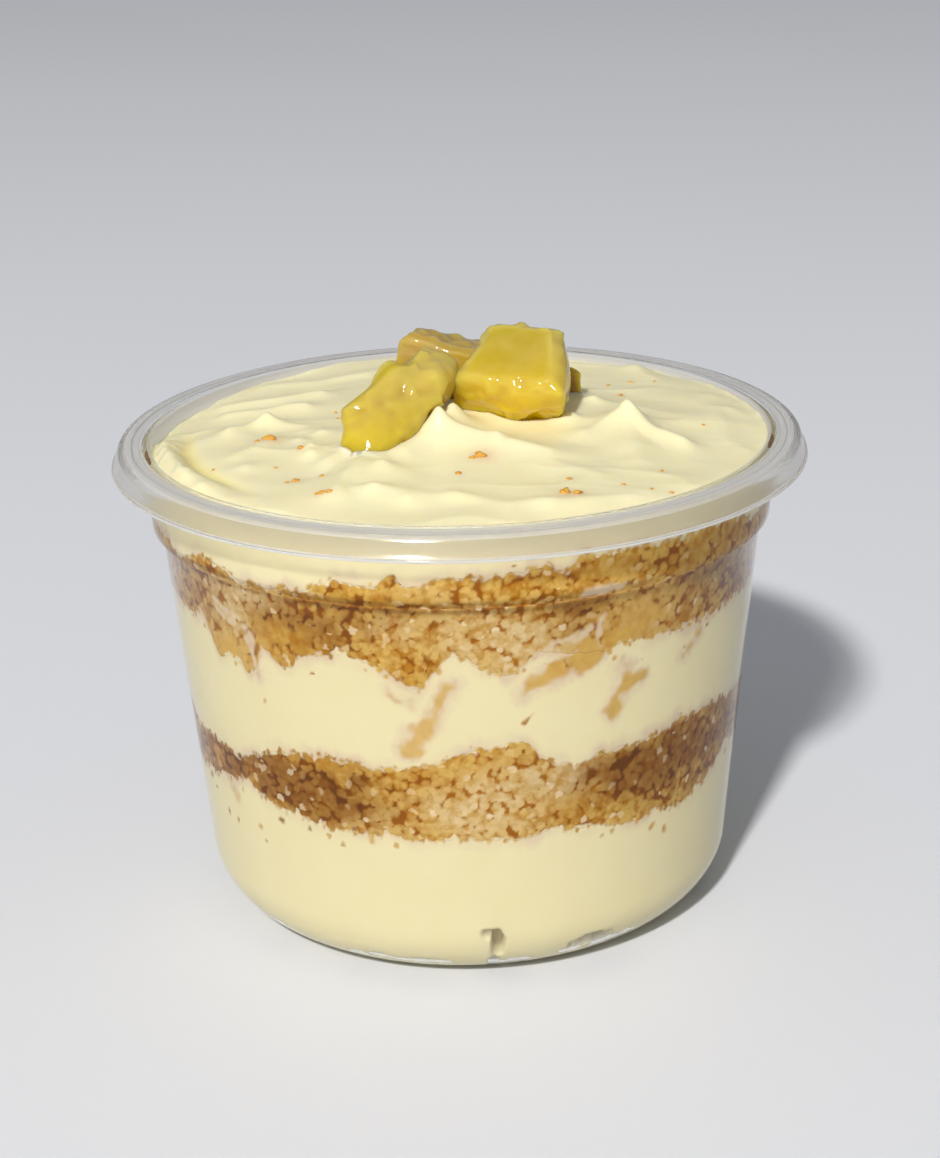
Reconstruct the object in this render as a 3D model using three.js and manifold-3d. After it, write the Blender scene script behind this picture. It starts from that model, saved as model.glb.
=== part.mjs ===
// Layered pineapple cake in a clear plastic pot.
//
// Millimetres, +Z up, origin in the middle of the surface that the pot stands on, front along -Y.
// The pot is one thin shell of revolution. Its filling is five layers, from the bottom up: cream,
// cake, cream, cake, cream. The layers meet in uneven lines that show through the wall, so each
// boundary is a mean height plus a few lobes round the pot. The top cream is stirred into low
// ridges and peaks, and four chunks of pineapple lie in its middle.

import * as THREE from 'three';
import Module from 'manifold-3d';
import { mergeVertices } from 'three/addons/utils/BufferGeometryUtils.js';

const wasm = await Module();
wasm.setup();

// Pot
const POT_HEIGHT = 68.1;
const WALL = 0.6;
const FOOT_RADIUS = 28.3; // where the flat foot turns up into the rounded corner
const CORNER_RADIUS = 9.5;
const RECESS_RADIUS = 24; // the base is raised a little inside its foot ring
const RECESS_DEPTH = 0.5;
const RECESS_STEP = 0.8;
const SHOULDER_LOW = 56.1; // the wall steps out between these two heights, for the lid's collar
const SHOULDER_HIGH = 57.9;
const SHOULDER_WALL_RADIUS = 42.2;
const SHOULDER_STEP = 1.25;
const COLLAR_TAPER = 0.045;
const LIP_ROUND = 0.5;
const FLANGE_RADIUS = 47.2;
const SKIRT_DROP = 3.2;
const SKIRT_FLARE = 0.9;
const BEAD = 0.4; // how far the thicker edge of the skirt stands out

// Filling
const GAP = 0.3; // clearance between neighbouring pieces
const SEGMENTS = 48;
const CAKE_LOWER_BOTTOM = 23;
const CAKE_LOWER_TOP = 33.2;
const CAKE_UPPER_BOTTOM = 48.8;
const CAKE_UPPER_TOP = 59.8;
const CREAM_EDGE = 66.9; // where the top cream meets the wall
const CREAM_MIDDLE = 69.4;
const DOME_SHAPE = 2.5; // the larger, the flatter the middle and the steeper the edge
const EDGE_FADE = 8; // the larger, the nearer to the wall the ridges run before they fade
const CREAM_RINGS = 13;

const MATERIALS = {
  pot: new THREE.MeshStandardMaterial({
    color: 0xe4e6e8, roughness: 0.1, metalness: 0, transparent: true, opacity: 0.35,
  }),
  cream: new THREE.MeshStandardMaterial({ color: 0xf3e9bd, roughness: 0.5, metalness: 0 }),
  cake: new THREE.MeshStandardMaterial({ color: 0xb98d4c, roughness: 0.9, metalness: 0 }),
  pineapple: new THREE.MeshStandardMaterial({ color: 0xdcb448, roughness: 0.25, metalness: 0 }),
};

const degrees = THREE.MathUtils.degToRad;
const point = (radius, height) => new THREE.Vector2(radius, height);

// Outer radius of the pot below its rim, moved inwards by inset.
function potRadius(height, inset) {
  if (height < CORNER_RADIUS) {
    const round = CORNER_RADIUS - inset;
    const below = CORNER_RADIUS - height;
    return FOOT_RADIUS + Math.sqrt(Math.max(round ** 2 - below ** 2, 0));
  }
  const cornerTop = FOOT_RADIUS + CORNER_RADIUS;
  const taper = (SHOULDER_WALL_RADIUS - cornerTop) / (SHOULDER_LOW - CORNER_RADIUS);
  const straight = cornerTop + (Math.min(height, SHOULDER_LOW) - CORNER_RADIUS) * taper;
  const shoulder = SHOULDER_STEP * THREE.MathUtils.smoothstep(height, SHOULDER_LOW, SHOULDER_HIGH);
  const collar = COLLAR_TAPER * Math.max(height - SHOULDER_HIGH, 0);
  return straight + shoulder + collar - inset;
}

// The pot's base from the axis to the top of the rounded corner, moved inwards by inset.
function baseProfile(inset) {
  const corner = [22, 45, 67, 90].map((angle) => point(
    FOOT_RADIUS + (CORNER_RADIUS - inset) * Math.sin(degrees(angle)),
    CORNER_RADIUS - (CORNER_RADIUS - inset) * Math.cos(degrees(angle)),
  ));
  return [
    point(0, RECESS_DEPTH + inset),
    point(RECESS_RADIUS, RECESS_DEPTH + inset),
    point(RECESS_RADIUS + RECESS_STEP, inset),
    point(FOOT_RADIUS, inset),
    ...corner,
  ];
}

// Points of the pot's wall at the given heights, moved inwards by inset.
function wallProfile(heights, inset) {
  return heights.map((height) => point(potRadius(height, inset), height));
}

const SHOULDER_ROWS = [SHOULDER_LOW, (SHOULDER_LOW + SHOULDER_HIGH) / 2, SHOULDER_HIGH];

// A turned body standing along +Z, from a profile that starts and ends on the axis. Its angle
// runs from the front (-Y) towards the right (+X). profileAt gives the profile at each angle,
// always with the same number of points, so the body may wave as it goes round.
function turnedBody(profileAt) {
  const geometry = new THREE.LatheGeometry(profileAt(0), SEGMENTS);
  const vertices = geometry.attributes.position;
  for (let segment = 0; segment <= SEGMENTS; segment += 1) {
    const angle = ((segment % SEGMENTS) / SEGMENTS) * 2 * Math.PI;
    const profile = profileAt(angle);
    profile.forEach(({ x: radius, y: height }, row) => {
      const index = segment * profile.length + row;
      vertices.setXYZ(index, radius * Math.sin(angle), height, radius * Math.cos(angle));
    });
  }
  geometry.computeVertexNormals();
  return geometry.rotateX(Math.PI / 2);
}

// The pot: base, rounded corner, tapered wall, shoulder and collar, then a rim that turns out and
// down into a flared skirt with a thicker edge, over which a lid clips.
function potGeometry() {
  const flangeUnderside = POT_HEIGHT - WALL;
  const skirtBottom = POT_HEIGHT - SKIRT_DROP;
  const skirtRadius = FLANGE_RADIUS + SKIRT_FLARE;
  const outside = [
    ...baseProfile(0),
    ...wallProfile([...SHOULDER_ROWS, flangeUnderside - LIP_ROUND], 0),
  ];
  const rim = [
    point(potRadius(flangeUnderside, -LIP_ROUND), flangeUnderside),
    point(FLANGE_RADIUS - WALL, flangeUnderside),
    point(skirtRadius - WALL, skirtBottom),
    point(skirtRadius + BEAD, skirtBottom),
    point(skirtRadius + BEAD, skirtBottom + BEAD),
    point(skirtRadius, skirtBottom + 2 * BEAD),
    point(FLANGE_RADIUS + SKIRT_FLARE / 3, POT_HEIGHT - LIP_ROUND),
    point(FLANGE_RADIUS - LIP_ROUND, POT_HEIGHT),
    point(potRadius(POT_HEIGHT, WALL - LIP_ROUND), POT_HEIGHT),
  ];
  const inside = [
    ...baseProfile(WALL),
    ...wallProfile([...SHOULDER_ROWS, POT_HEIGHT - LIP_ROUND], WALL),
  ].reverse();
  const profile = [...outside, ...rim, ...inside];
  return turnedBody(() => profile);
}

// A sum of smooth bumps round the pot. Each lobe has its angle, its height and its half width,
// with both angles in degrees and the angle measured from the front towards the right.
function lobes(list) {
  return (angle) => list.reduce((sum, { at, height, width }) => {
    const turn = THREE.MathUtils.euclideanModulo(THREE.MathUtils.radToDeg(angle) - at + 180, 360) - 180;
    return sum + height * Math.exp(-0.5 * (turn / width) ** 2);
  }, 0);
}

// Where two layers meet: the boundary's height at the wall, flattening to its mean at the axis.
function boundary(mean, list) {
  const wave = lobes(list);
  return (fraction, angle) => mean + wave(angle) * fraction ** 2;
}

const cakeLowerBottom = boundary(CAKE_LOWER_BOTTOM, [
  { at: -54, height: 2.4, width: 9 },
  { at: 42, height: -1.0, width: 9 },
  { at: 67, height: 2.8, width: 7 },
  { at: 140, height: 1.2, width: 14 },
  { at: -130, height: -0.9, width: 16 },
]);
const cakeLowerTop = boundary(CAKE_LOWER_TOP, [
  { at: -63, height: -3.3, width: 12 },
  { at: 7, height: 3.9, width: 7 },
  { at: 50, height: 1.6, width: 11 },
  { at: 125, height: -1.3, width: 14 },
  { at: -150, height: 1.5, width: 16 },
]);
const cakeUpperBottom = boundary(CAKE_UPPER_BOTTOM, [
  { at: -47, height: -4.2, width: 6 },
  { at: -8, height: -3.4, width: 6 },
  { at: 8, height: -1.4, width: 5 },
  { at: 105, height: -2.2, width: 9 },
  { at: 170, height: 1.3, width: 15 },
]);
const cakeUpperTop = boundary(CAKE_UPPER_TOP, [
  { at: -42, height: -1.4, width: 14 },
  { at: 2, height: 1.0, width: 12 },
  { at: 36, height: 2.3, width: 17 },
  { at: 150, height: 1.2, width: 15 },
]);

const LAYER_RINGS = [0, 0.35, 0.65, 0.85];

// One face of a layer, from the axis out to the wall, moved up by lift.
function layerFace(height, angle, lift) {
  const wallHeight = height(1, angle) + lift;
  const wallRadius = potRadius(wallHeight, WALL + GAP);
  const inner = LAYER_RINGS.map((ring) => point(ring * wallRadius, height(ring, angle) + lift));
  return [...inner, point(wallRadius, wallHeight)];
}

// A layer between two boundaries, with extra rows of points where the wall isn't straight.
function layerGeometry(bottom, top, wallRows = []) {
  return turnedBody((angle) => [
    ...layerFace(bottom, angle, GAP / 2),
    ...wallProfile(wallRows, WALL + GAP),
    ...layerFace(top, angle, -GAP / 2).reverse(),
  ]);
}

// The bottom cream fills the pot's base.
function creamBottomGeometry() {
  return turnedBody((angle) => [
    ...baseProfile(WALL + GAP),
    ...layerFace(cakeLowerBottom, angle, -GAP / 2).reverse(),
  ]);
}

// Ridges and peaks that the spoon left in the top cream. Each runs along a line from one place to
// another on the surface, and falls off smoothly to its half width on either side.
const RIDGES = [
  { from: [22.5, -5], to: [23.5, -4.5], height: 2.6, width: 2.6 }, // the tallest peak, on the right
  { from: [24, -6], to: [31, -13], height: 1.4, width: 2.4 },
  { from: [-2, -5], to: [8, -14], height: 1.5, width: 3.2 }, // from the chunks to the front
  { from: [8, -14], to: [18, -25], height: 1.0, width: 3.0 },
  { from: [-13, -19], to: [-15, -29], height: 1.2, width: 3.0 },
  { from: [-13, -29], to: [2, -33], height: 0.9, width: 2.6 }, // crest along the front
  { from: [2, -33], to: [20, -35], height: 1.0, width: 2.6 },
  { from: [-21, -12], to: [-17, -15], height: 1.1, width: 2.6 },
  { from: [-30, -13], to: [-27, 2], height: 0.9, width: 2.6 },
  { from: [-33, 12], to: [-24, 14], height: 0.8, width: 2.8 },
  { from: [-30, 26], to: [-18, 32], height: 0.8, width: 2.8 },
  { from: [17, 32], to: [29, 27], height: 1.1, width: 3.0 },
  { from: [36, 6], to: [37, -10], height: 0.7, width: 2.4 },
  { from: [4, 5], to: [11, 5], height: 2.2, width: 6.0 }, // the mound that carries the chunks
];

const creamEdge = lobes([
  { at: -100, height: -1.2, width: 25 },
  { at: -155, height: 0.6, width: 18 },
  { at: 95, height: 0.5, width: 40 },
]);

// Height that one ridge adds at a place on the surface.
function ridgeHeight({ from, to, height, width }, place) {
  const line = new THREE.Line3(new THREE.Vector3(...from), new THREE.Vector3(...to));
  const distance = line.closestPointToPoint(place, true, new THREE.Vector3()).distanceTo(place);
  return height * Math.exp(-0.5 * (distance / width) ** 2);
}

// The top cream's surface: a low dome from its edge at the wall, with the ridges on it.
function creamSurface(fraction, angle, wallRadius) {
  const edge = CREAM_EDGE + creamEdge(angle);
  const dome = THREE.MathUtils.lerp(CREAM_MIDDLE, edge, fraction ** DOME_SHAPE);
  const radius = fraction * wallRadius;
  const place = new THREE.Vector3(radius * Math.sin(angle), -radius * Math.cos(angle), 0);
  const fade = 1 - fraction ** EDGE_FADE;
  return dome + fade * RIDGES.reduce((sum, ridge) => sum + ridgeHeight(ridge, place), 0);
}

function creamTopGeometry() {
  return turnedBody((angle) => {
    const edge = CREAM_EDGE + creamEdge(angle);
    const wallRadius = potRadius(edge, WALL + GAP);
    const surface = [];
    for (let ring = CREAM_RINGS; ring >= 0; ring -= 1) {
      const fraction = ring / CREAM_RINGS;
      surface.push(point(fraction * wallRadius, creamSurface(fraction, angle, wallRadius)));
    }
    return [...layerFace(cakeUpperTop, angle, GAP / 2), ...surface];
  });
}

// Pineapple chunks are cut from rings of the fruit: each is a sector between two arcs, as thick as
// the ring. length runs outwards from the core along X, and width is measured half way along it.
// place is the chunk's middle. spin turns it about its thickness, then lean, tilt and turn lay it
// down about X, Y and Z, in degrees.
const CHUNKS = {
  pineapple_left: {
    length: 15, width: 9, thickness: 8.5, place: [-7.9, -7.8, 72.8], lean: 48, tilt: -26, turn: 22,
  },
  pineapple_back: {
    length: 12.5, width: 9, thickness: 8.5, place: [-2.2, 9.6, 74.1], lean: -8, tilt: 11, turn: -10,
  },
  pineapple_right: {
    length: 11.5, width: 12, thickness: 9, place: [8.6, -0.4, 76.1], lean: 38, tilt: 2, turn: -18,
    spin: -90,
  },
  pineapple_small: {
    length: 6.5, width: 5.5, thickness: 7, place: [14.0, 8.8, 72.2], lean: 6, tilt: 14, turn: 30,
  },
};
const CORE_RADIUS = 20; // from the fruit's middle to a chunk's narrow end
const CHUNK_EDGE = 1.1; // how far the chunks' cut edges are rounded off

function chunkGeometry({ length, width, thickness, spin = 0 }) {
  const inner = CORE_RADIUS + CHUNK_EDGE;
  const outer = CORE_RADIUS + length - CHUNK_EDGE;
  const half = (width / 2 - CHUNK_EDGE) / ((inner + outer) / 2);
  const sector = new THREE.Shape();
  sector.absarc(0, 0, outer, -half, half, false);
  sector.absarc(0, 0, inner, half, -half, true);
  const geometry = new THREE.ExtrudeGeometry(sector, {
    depth: thickness - 2 * CHUNK_EDGE,
    curveSegments: 3,
    bevelThickness: CHUNK_EDGE,
    bevelSize: CHUNK_EDGE,
    bevelSegments: 1,
  });
  return geometry.center().rotateZ(degrees(spin));
}

function chunkMesh(name, chunk) {
  const mesh = new THREE.Mesh(chunkGeometry(chunk), MATERIALS.pineapple);
  mesh.name = name;
  mesh.position.set(...chunk.place);
  mesh.rotation.set(degrees(chunk.lean), degrees(chunk.tilt), degrees(chunk.turn), 'ZYX');
  return mesh;
}

// A closed geometry as a solid that can be cut.
function solid(geometry) {
  const bare = geometry.clone();
  bare.deleteAttribute('normal');
  bare.deleteAttribute('uv');
  const merged = mergeVertices(bare, 1e-3);
  return new wasm.Manifold(new wasm.Mesh({
    numProp: 3,
    vertProperties: new Float32Array(merged.attributes.position.array),
    triVerts: new Uint32Array(merged.index.array),
  }));
}

function geometryOf(cutSolid) {
  const { vertProperties, triVerts } = cutSolid.getMesh();
  const geometry = new THREE.BufferGeometry();
  geometry.setAttribute('position', new THREE.BufferAttribute(vertProperties, 3));
  geometry.setIndex(new THREE.BufferAttribute(triVerts, 1));
  geometry.computeVertexNormals();
  return geometry;
}

// The chunk as it lies, larger by the gap on every side: the dent that it presses into the cream.
function dent(mesh) {
  const size = new THREE.Box3().setFromBufferAttribute(mesh.geometry.attributes.position);
  const extent = size.getSize(new THREE.Vector3());
  const growth = extent.clone().addScalar(2 * GAP).divide(extent);
  mesh.updateMatrix();
  return solid(mesh.geometry.clone().scale(...growth).applyMatrix4(mesh.matrix));
}

function namedMesh(name, geometry, material) {
  const mesh = new THREE.Mesh(geometry, material);
  mesh.name = name;
  return mesh;
}

const chunks = Object.entries(CHUNKS).map(([name, chunk]) => chunkMesh(name, chunk));
const creamTop = chunks.reduce((cream, chunk) => cream.subtract(dent(chunk)), solid(creamTopGeometry()));

const group = new THREE.Group();
group.add(
  namedMesh('cup', potGeometry(), MATERIALS.pot),
  namedMesh('cream_bottom', creamBottomGeometry(), MATERIALS.cream),
  namedMesh('cake_lower', layerGeometry(cakeLowerBottom, cakeLowerTop), MATERIALS.cake),
  namedMesh('cream_middle', layerGeometry(cakeLowerTop, cakeUpperBottom), MATERIALS.cream),
  namedMesh('cake_upper', layerGeometry(cakeUpperBottom, cakeUpperTop, SHOULDER_ROWS), MATERIALS.cake),
  namedMesh('cream_top', geometryOf(creamTop), MATERIALS.cream),
  ...chunks,
);

export default group;
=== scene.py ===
# %% [markdown]
# # A layered pineapple cake in a clear pot
#
# Cream and sponge crumb are spooned in layers into a thin clear plastic pot, and chunks of
# pineapple lie on top. The layers are seen through the wall, so most of the work is what
# touches the wall: grains of cake pressed flat, small air pores between them, and uneven
# lines where cake meets cream. Lengths are in millimetres until a mesh is made, because
# everything on this object is a few millimetres or less.

# %% Load the frame
import itertools
import math
import bpy
import numpy as np
from mathutils import Matrix, Vector


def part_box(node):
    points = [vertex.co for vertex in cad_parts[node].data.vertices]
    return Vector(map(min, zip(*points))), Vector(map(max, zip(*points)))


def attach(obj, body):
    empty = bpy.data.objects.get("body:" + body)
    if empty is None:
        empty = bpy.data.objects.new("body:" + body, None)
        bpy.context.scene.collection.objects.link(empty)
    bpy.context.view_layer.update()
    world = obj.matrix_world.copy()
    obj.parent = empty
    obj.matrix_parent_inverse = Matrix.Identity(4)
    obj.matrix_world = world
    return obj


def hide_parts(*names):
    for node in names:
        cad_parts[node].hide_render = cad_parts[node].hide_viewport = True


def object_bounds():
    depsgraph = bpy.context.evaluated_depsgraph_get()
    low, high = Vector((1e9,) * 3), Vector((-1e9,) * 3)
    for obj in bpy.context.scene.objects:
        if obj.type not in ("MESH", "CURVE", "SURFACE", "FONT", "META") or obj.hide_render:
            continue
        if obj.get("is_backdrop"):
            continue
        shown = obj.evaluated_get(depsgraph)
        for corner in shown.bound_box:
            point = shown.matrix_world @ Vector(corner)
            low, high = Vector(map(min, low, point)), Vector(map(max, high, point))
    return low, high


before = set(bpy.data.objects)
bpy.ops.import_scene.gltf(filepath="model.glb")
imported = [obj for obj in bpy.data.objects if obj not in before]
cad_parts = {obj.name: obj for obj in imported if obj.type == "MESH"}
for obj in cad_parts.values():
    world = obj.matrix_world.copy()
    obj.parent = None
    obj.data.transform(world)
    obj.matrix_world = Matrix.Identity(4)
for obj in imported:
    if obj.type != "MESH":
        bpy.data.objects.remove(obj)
cad_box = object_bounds()
MM = 0.001
rim_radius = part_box("cup")[1].x / MM
pot_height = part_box("cup")[1].z / MM
print("rim radius", round(rim_radius, 2), "mm, pot height", round(pot_height, 2), "mm")

# %% [markdown]
# ## Tools for surfaces
#
# Every piece here is a skin: a grid of points in rows and columns, closed round its columns,
# with one point at each end. A grid is worked out as whole arrays, so a formula for one point
# gives all of them at once. The alternative, sculpting or modifiers, would need a dense mesh
# first and would give no measures, such as how deep a pore is, for the colours to follow.

# %% Closed skins


def skin_faces(rows, columns):
    """Quads between one skin's rows, then fans of triangles to its two end points, which come
    after the points of its grid."""
    row, column = np.meshgrid(np.arange(rows - 1), np.arange(columns), indexing="ij")
    here = row * columns + column
    beside = row * columns + (column + 1) % columns
    quads = np.stack([here, beside, beside + columns, here + columns], axis=-1).reshape(-1, 4)
    here, beside = here[0], beside[0]
    top = (rows - 1) * columns
    low_end = np.full(columns, rows * columns)
    fans = np.concatenate([
        np.stack([low_end, beside, here], axis=-1),
        np.stack([here + top, beside + top, low_end + 1], axis=-1),
    ])
    return quads, fans


def smooth_faces(rows, columns, hidden):
    """Which quads, and which triangles of the fans, are shaded smooth."""
    row = np.arange(rows - 1)
    shows = (row >= hidden[0]) & (row < rows - 1 - hidden[1])
    return np.repeat(shows, columns), np.repeat([hidden[0] == 0, hidden[1] == 0], columns)


def skin(name, grid, ends, marks=None, hidden=(0, 0)):
    """Closed skins joined into one mesh object.

    grid[skin, row, column] is a point; the last column joins the first. ends[skin] are the
    two points that close the first and the last row. Rows that rise while columns run
    anticlockwise, seen from above, face outwards. marks are numbers kept on the points.
    hidden rows at the start and the end are shaded flat, so that they don't tilt the
    shading of the rows that show.
    """
    count, rows, columns = grid.shape[:3]
    quads, fans = skin_faces(rows, columns)
    first_point = (rows * columns + 2) * np.arange(count)[:, None, None]
    corners = np.concatenate([(quads + first_point).ravel(), (fans + first_point).ravel()])
    sizes = np.repeat([4, 3], [len(quads) * count, len(fans) * count])
    points = np.concatenate([grid.reshape(count, -1, 3), ends], axis=1).reshape(-1, 3)

    mesh = bpy.data.meshes.new(name)
    mesh.vertices.add(len(points))
    mesh.vertices.foreach_set("co", (points * MM).astype(np.float32).ravel())
    mesh.loops.add(len(corners))
    mesh.loops.foreach_set("vertex_index", corners.astype(np.int32))
    mesh.polygons.add(len(sizes))
    mesh.polygons.foreach_set("loop_start", (np.cumsum(sizes) - sizes).astype(np.int32))
    mesh.update(calc_edges=True)
    smooth = [np.tile(part, count) for part in smooth_faces(rows, columns, hidden)]
    mesh.polygons.foreach_set("use_smooth", np.concatenate(smooth))
    for label, values in (marks or {}).items():
        inner = np.broadcast_to(values, grid.shape[:3]).reshape(count, -1)
        full = np.concatenate([inner, inner[:, :1], inner[:, -1:]], axis=1)
        layer = mesh.attributes.new(label, "FLOAT", "POINT")
        layer.data.foreach_set("value", full.astype(np.float32).ravel())
    piece = bpy.data.objects.new(name, mesh)
    bpy.context.scene.collection.objects.link(piece)
    print(name, len(points), "points,", len(quads) * 2 * count + len(fans) * count, "triangles")
    return piece


# %% [markdown]
# Random unevenness comes from two fields that fill space. The first is smooth noise, for
# waves and tone. The second scatters seeds and measures the way to the nearest one: near a
# seed is the middle of a grain, far from all seeds is a gap between grains. Both are read at
# the points' own places in space, so they have no seam where a round surface closes.

# %% Noise and grains
LATTICE = 48  # cubes each way before the random numbers repeat
FAR = 9.0  # farther than any seed can be, in cube widths


def ease(low, high, value):
    """Smoothstep: 0 below low, 1 above high, 3t^2 - 2t^3 between. With low above high, it
    falls instead."""
    part = np.clip((value - low) / (high - low), 0, 1)
    return part * part * (3 - 2 * part)


def bell(away, width):
    """e^(-(away / width)^2 / 2): 1 in the middle, falling to 0 on both sides."""
    return np.exp(-0.5 * (away / width) ** 2)


def noise(places, size, seed):
    """Random values from -1 to 1 at the corners of cubes, size apart, eased in between."""
    table = np.random.default_rng(seed).uniform(-1, 1, (LATTICE, LATTICE, LATTICE))
    scaled = places / size
    corner = np.floor(scaled).astype(int)
    part = ease(0, 1, scaled - corner)
    total = np.zeros(places.shape[:-1])
    for step in itertools.product((0, 1), repeat=3):
        cube = np.moveaxis((corner + step) % LATTICE, -1, 0)
        total += np.prod(np.where(step, part, 1 - part), axis=-1) * table[tuple(cube)]
    return total


def rough(places, size, seed, octaves=3):
    """Noise at size, plus half as much at half the size, and so on."""
    return sum(noise(places, size / 2**k, seed + k) / 2**k for k in range(octaves))


def grains(places, size, seed, missing=0.0):
    """One seed at random in each cube of space, size wide, with a share of them missing.

    Gives the distance to the nearest seed in cube widths and its own random number.
    """
    random = np.random.default_rng(seed)
    jitter = random.uniform(0, 1, (LATTICE, LATTICE, LATTICE, 3))
    numbers = random.uniform(0, 1, (LATTICE, LATTICE, LATTICE))
    scaled = places / size
    cube = np.floor(scaled).astype(int)
    nearest = np.full(places.shape[:-1], FAR)
    number = np.zeros(places.shape[:-1])
    for step in itertools.product((-1, 0, 1), repeat=3):
        other = cube + step
        index = tuple(np.moveaxis(other % LATTICE, -1, 0))
        distance = np.linalg.norm(other + jitter[index] - scaled, axis=-1)
        own = (numbers[index] - missing) / (1 - missing)
        distance = np.where(own < 0, FAR, distance)
        number = np.where(distance < nearest, own, number)
        nearest = np.minimum(nearest, distance)
    return nearest, number


# %% [markdown]
# ## The pot
#
# The pot is a body of revolution, only 0.6 mm thick, with a raised base, a rounded corner, a
# straight taper, a shoulder where it steps out, and a flat rim that turns down into a skirt.
# It could be a Screw or Spin of a curve; a formula for the wall's radius is used instead,
# because the filling needs the same radius to press against.

# %% Shape of the pot's wall
WALL = 0.6
FOOT_RADIUS = 28.3
CORNER_RADIUS = 9.5
RECESS_RADIUS = 24.0
RECESS_DEPTH = 0.5
RECESS_STEP = 0.8
SHOULDER_LOW = 56.7
SHOULDER_HIGH = 57.2
SHOULDER_WALL_RADIUS = 42.2
SHOULDER_STEP = 1.25
COLLAR_TAPER = 0.045
STEP_LOSS = 0.6  # share of the step that is lost for each millimetre of inset
STEP_SPREAD = 3  # millimetres that the step is taller for each millimetre of inset


def pot_radius(height, inset=0.0):
    """Outer radius at a height, moved in by inset: a quarter circle, then a straight taper,
    with a smoothstep out at the shoulder and a slight taper above it. An inner face steps
    out less and more slowly, as the plastic is thick there."""
    height = np.asarray(height, float)
    below = np.clip(CORNER_RADIUS - height, 0, None)
    corner = np.sqrt(np.clip((CORNER_RADIUS - inset) ** 2 - below**2, 0, None))
    start = FOOT_RADIUS + CORNER_RADIUS
    up = np.clip((height - CORNER_RADIUS) / (SHOULDER_LOW - CORNER_RADIUS), 0, 1)
    straight = start + (SHOULDER_WALL_RADIUS - start) * up
    step = SHOULDER_STEP * (1 - STEP_LOSS * inset)
    shoulder = step * ease(SHOULDER_LOW, SHOULDER_HIGH + STEP_SPREAD * inset, height)
    collar = COLLAR_TAPER * np.clip(height - SHOULDER_HIGH, 0, None)
    above = straight + shoulder + collar - inset
    return np.where(height < CORNER_RADIUS, FOOT_RADIUS + corner, above)


def round_the_pot(radius, height, columns):
    """Points at a radius and height, turned round the axis from the front (-Y) to the right."""
    angle = np.arange(columns) / columns * 2 * math.pi
    radius, height, angle = np.broadcast_arrays(radius, height, angle)
    return np.stack([radius * np.sin(angle), -radius * np.cos(angle), height], axis=-1)


def angle_of(places):
    """The angle round from the front, in radians."""
    return np.arctan2(places[..., 0], -places[..., 1])


def from_axis(places):
    """The distance from the pot's axis."""
    return np.hypot(places[..., 0], places[..., 1])


print("wall radius at foot, shoulder and rim:", pot_radius([1, SHOULDER_LOW, pot_height]).round(2))

# %% Outline of the pot
TAPER_HEIGHTS = [20, 33, 45]
COLLAR_START = 1.2
SKIRT_DROP = 3.2
FLANGE_RADIUS = 47.2
BEAD = 0.4
GROOVE_DEPTH = 0.16
LIP_HEIGHT = 2.6


def soften(outline, steps=5):
    """Rounds an outline's corners. Each corner is (radius, height, round): a parabola that
    starts and ends at that distance from the corner takes its place."""
    curve = []
    for before, corner, after in zip(outline, outline[1:], outline[2:]):
        here = np.array(corner[:2])
        if corner[2] == 0:
            curve.append(here)
            continue
        ways = [np.array(side[:2]) - here for side in (before, after)]
        start, end = [here + way / np.linalg.norm(way) * corner[2] for way in ways]
        for t in np.linspace(0, 1, steps):
            curve.append((1 - t) ** 2 * start + 2 * t * (1 - t) * here + t**2 * end)
    return np.array([outline[0][:2], *curve, outline[-1][:2]])


def base_outline(inset):
    """The base from near the axis to the top of its rounded corner, moved in by inset."""
    turn = np.radians(np.linspace(8, 90, 14))
    across = FOOT_RADIUS + (CORNER_RADIUS - inset) * np.sin(turn)
    up = CORNER_RADIUS - (CORNER_RADIUS - inset) * np.cos(turn)
    floor = [
        (RECESS_RADIUS * 0.5, RECESS_DEPTH + inset),
        (RECESS_RADIUS - 0.3, RECESS_DEPTH + inset),
        (RECESS_RADIUS + RECESS_STEP * 0.3, RECESS_DEPTH * 0.8 + inset),
        (RECESS_RADIUS + RECESS_STEP * 0.7, RECESS_DEPTH * 0.2 + inset),
        (RECESS_RADIUS + RECESS_STEP + 0.3, inset),
        (FOOT_RADIUS, inset),
    ]
    return np.concatenate([floor, np.stack([across, up], axis=-1)])


def wall_outline(inset, top):
    """The wall above the corner, with close points only where it steps out."""
    steps = np.linspace(SHOULDER_LOW, SHOULDER_HIGH + STEP_SPREAD * inset, 9)
    collar_start = SHOULDER_HIGH + COLLAR_START + STEP_SPREAD * inset
    heights = np.concatenate([TAPER_HEIGHTS, steps, [collar_start, top - LIP_HEIGHT, top]])
    return np.stack([pot_radius(heights, inset), heights], axis=-1)


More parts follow.
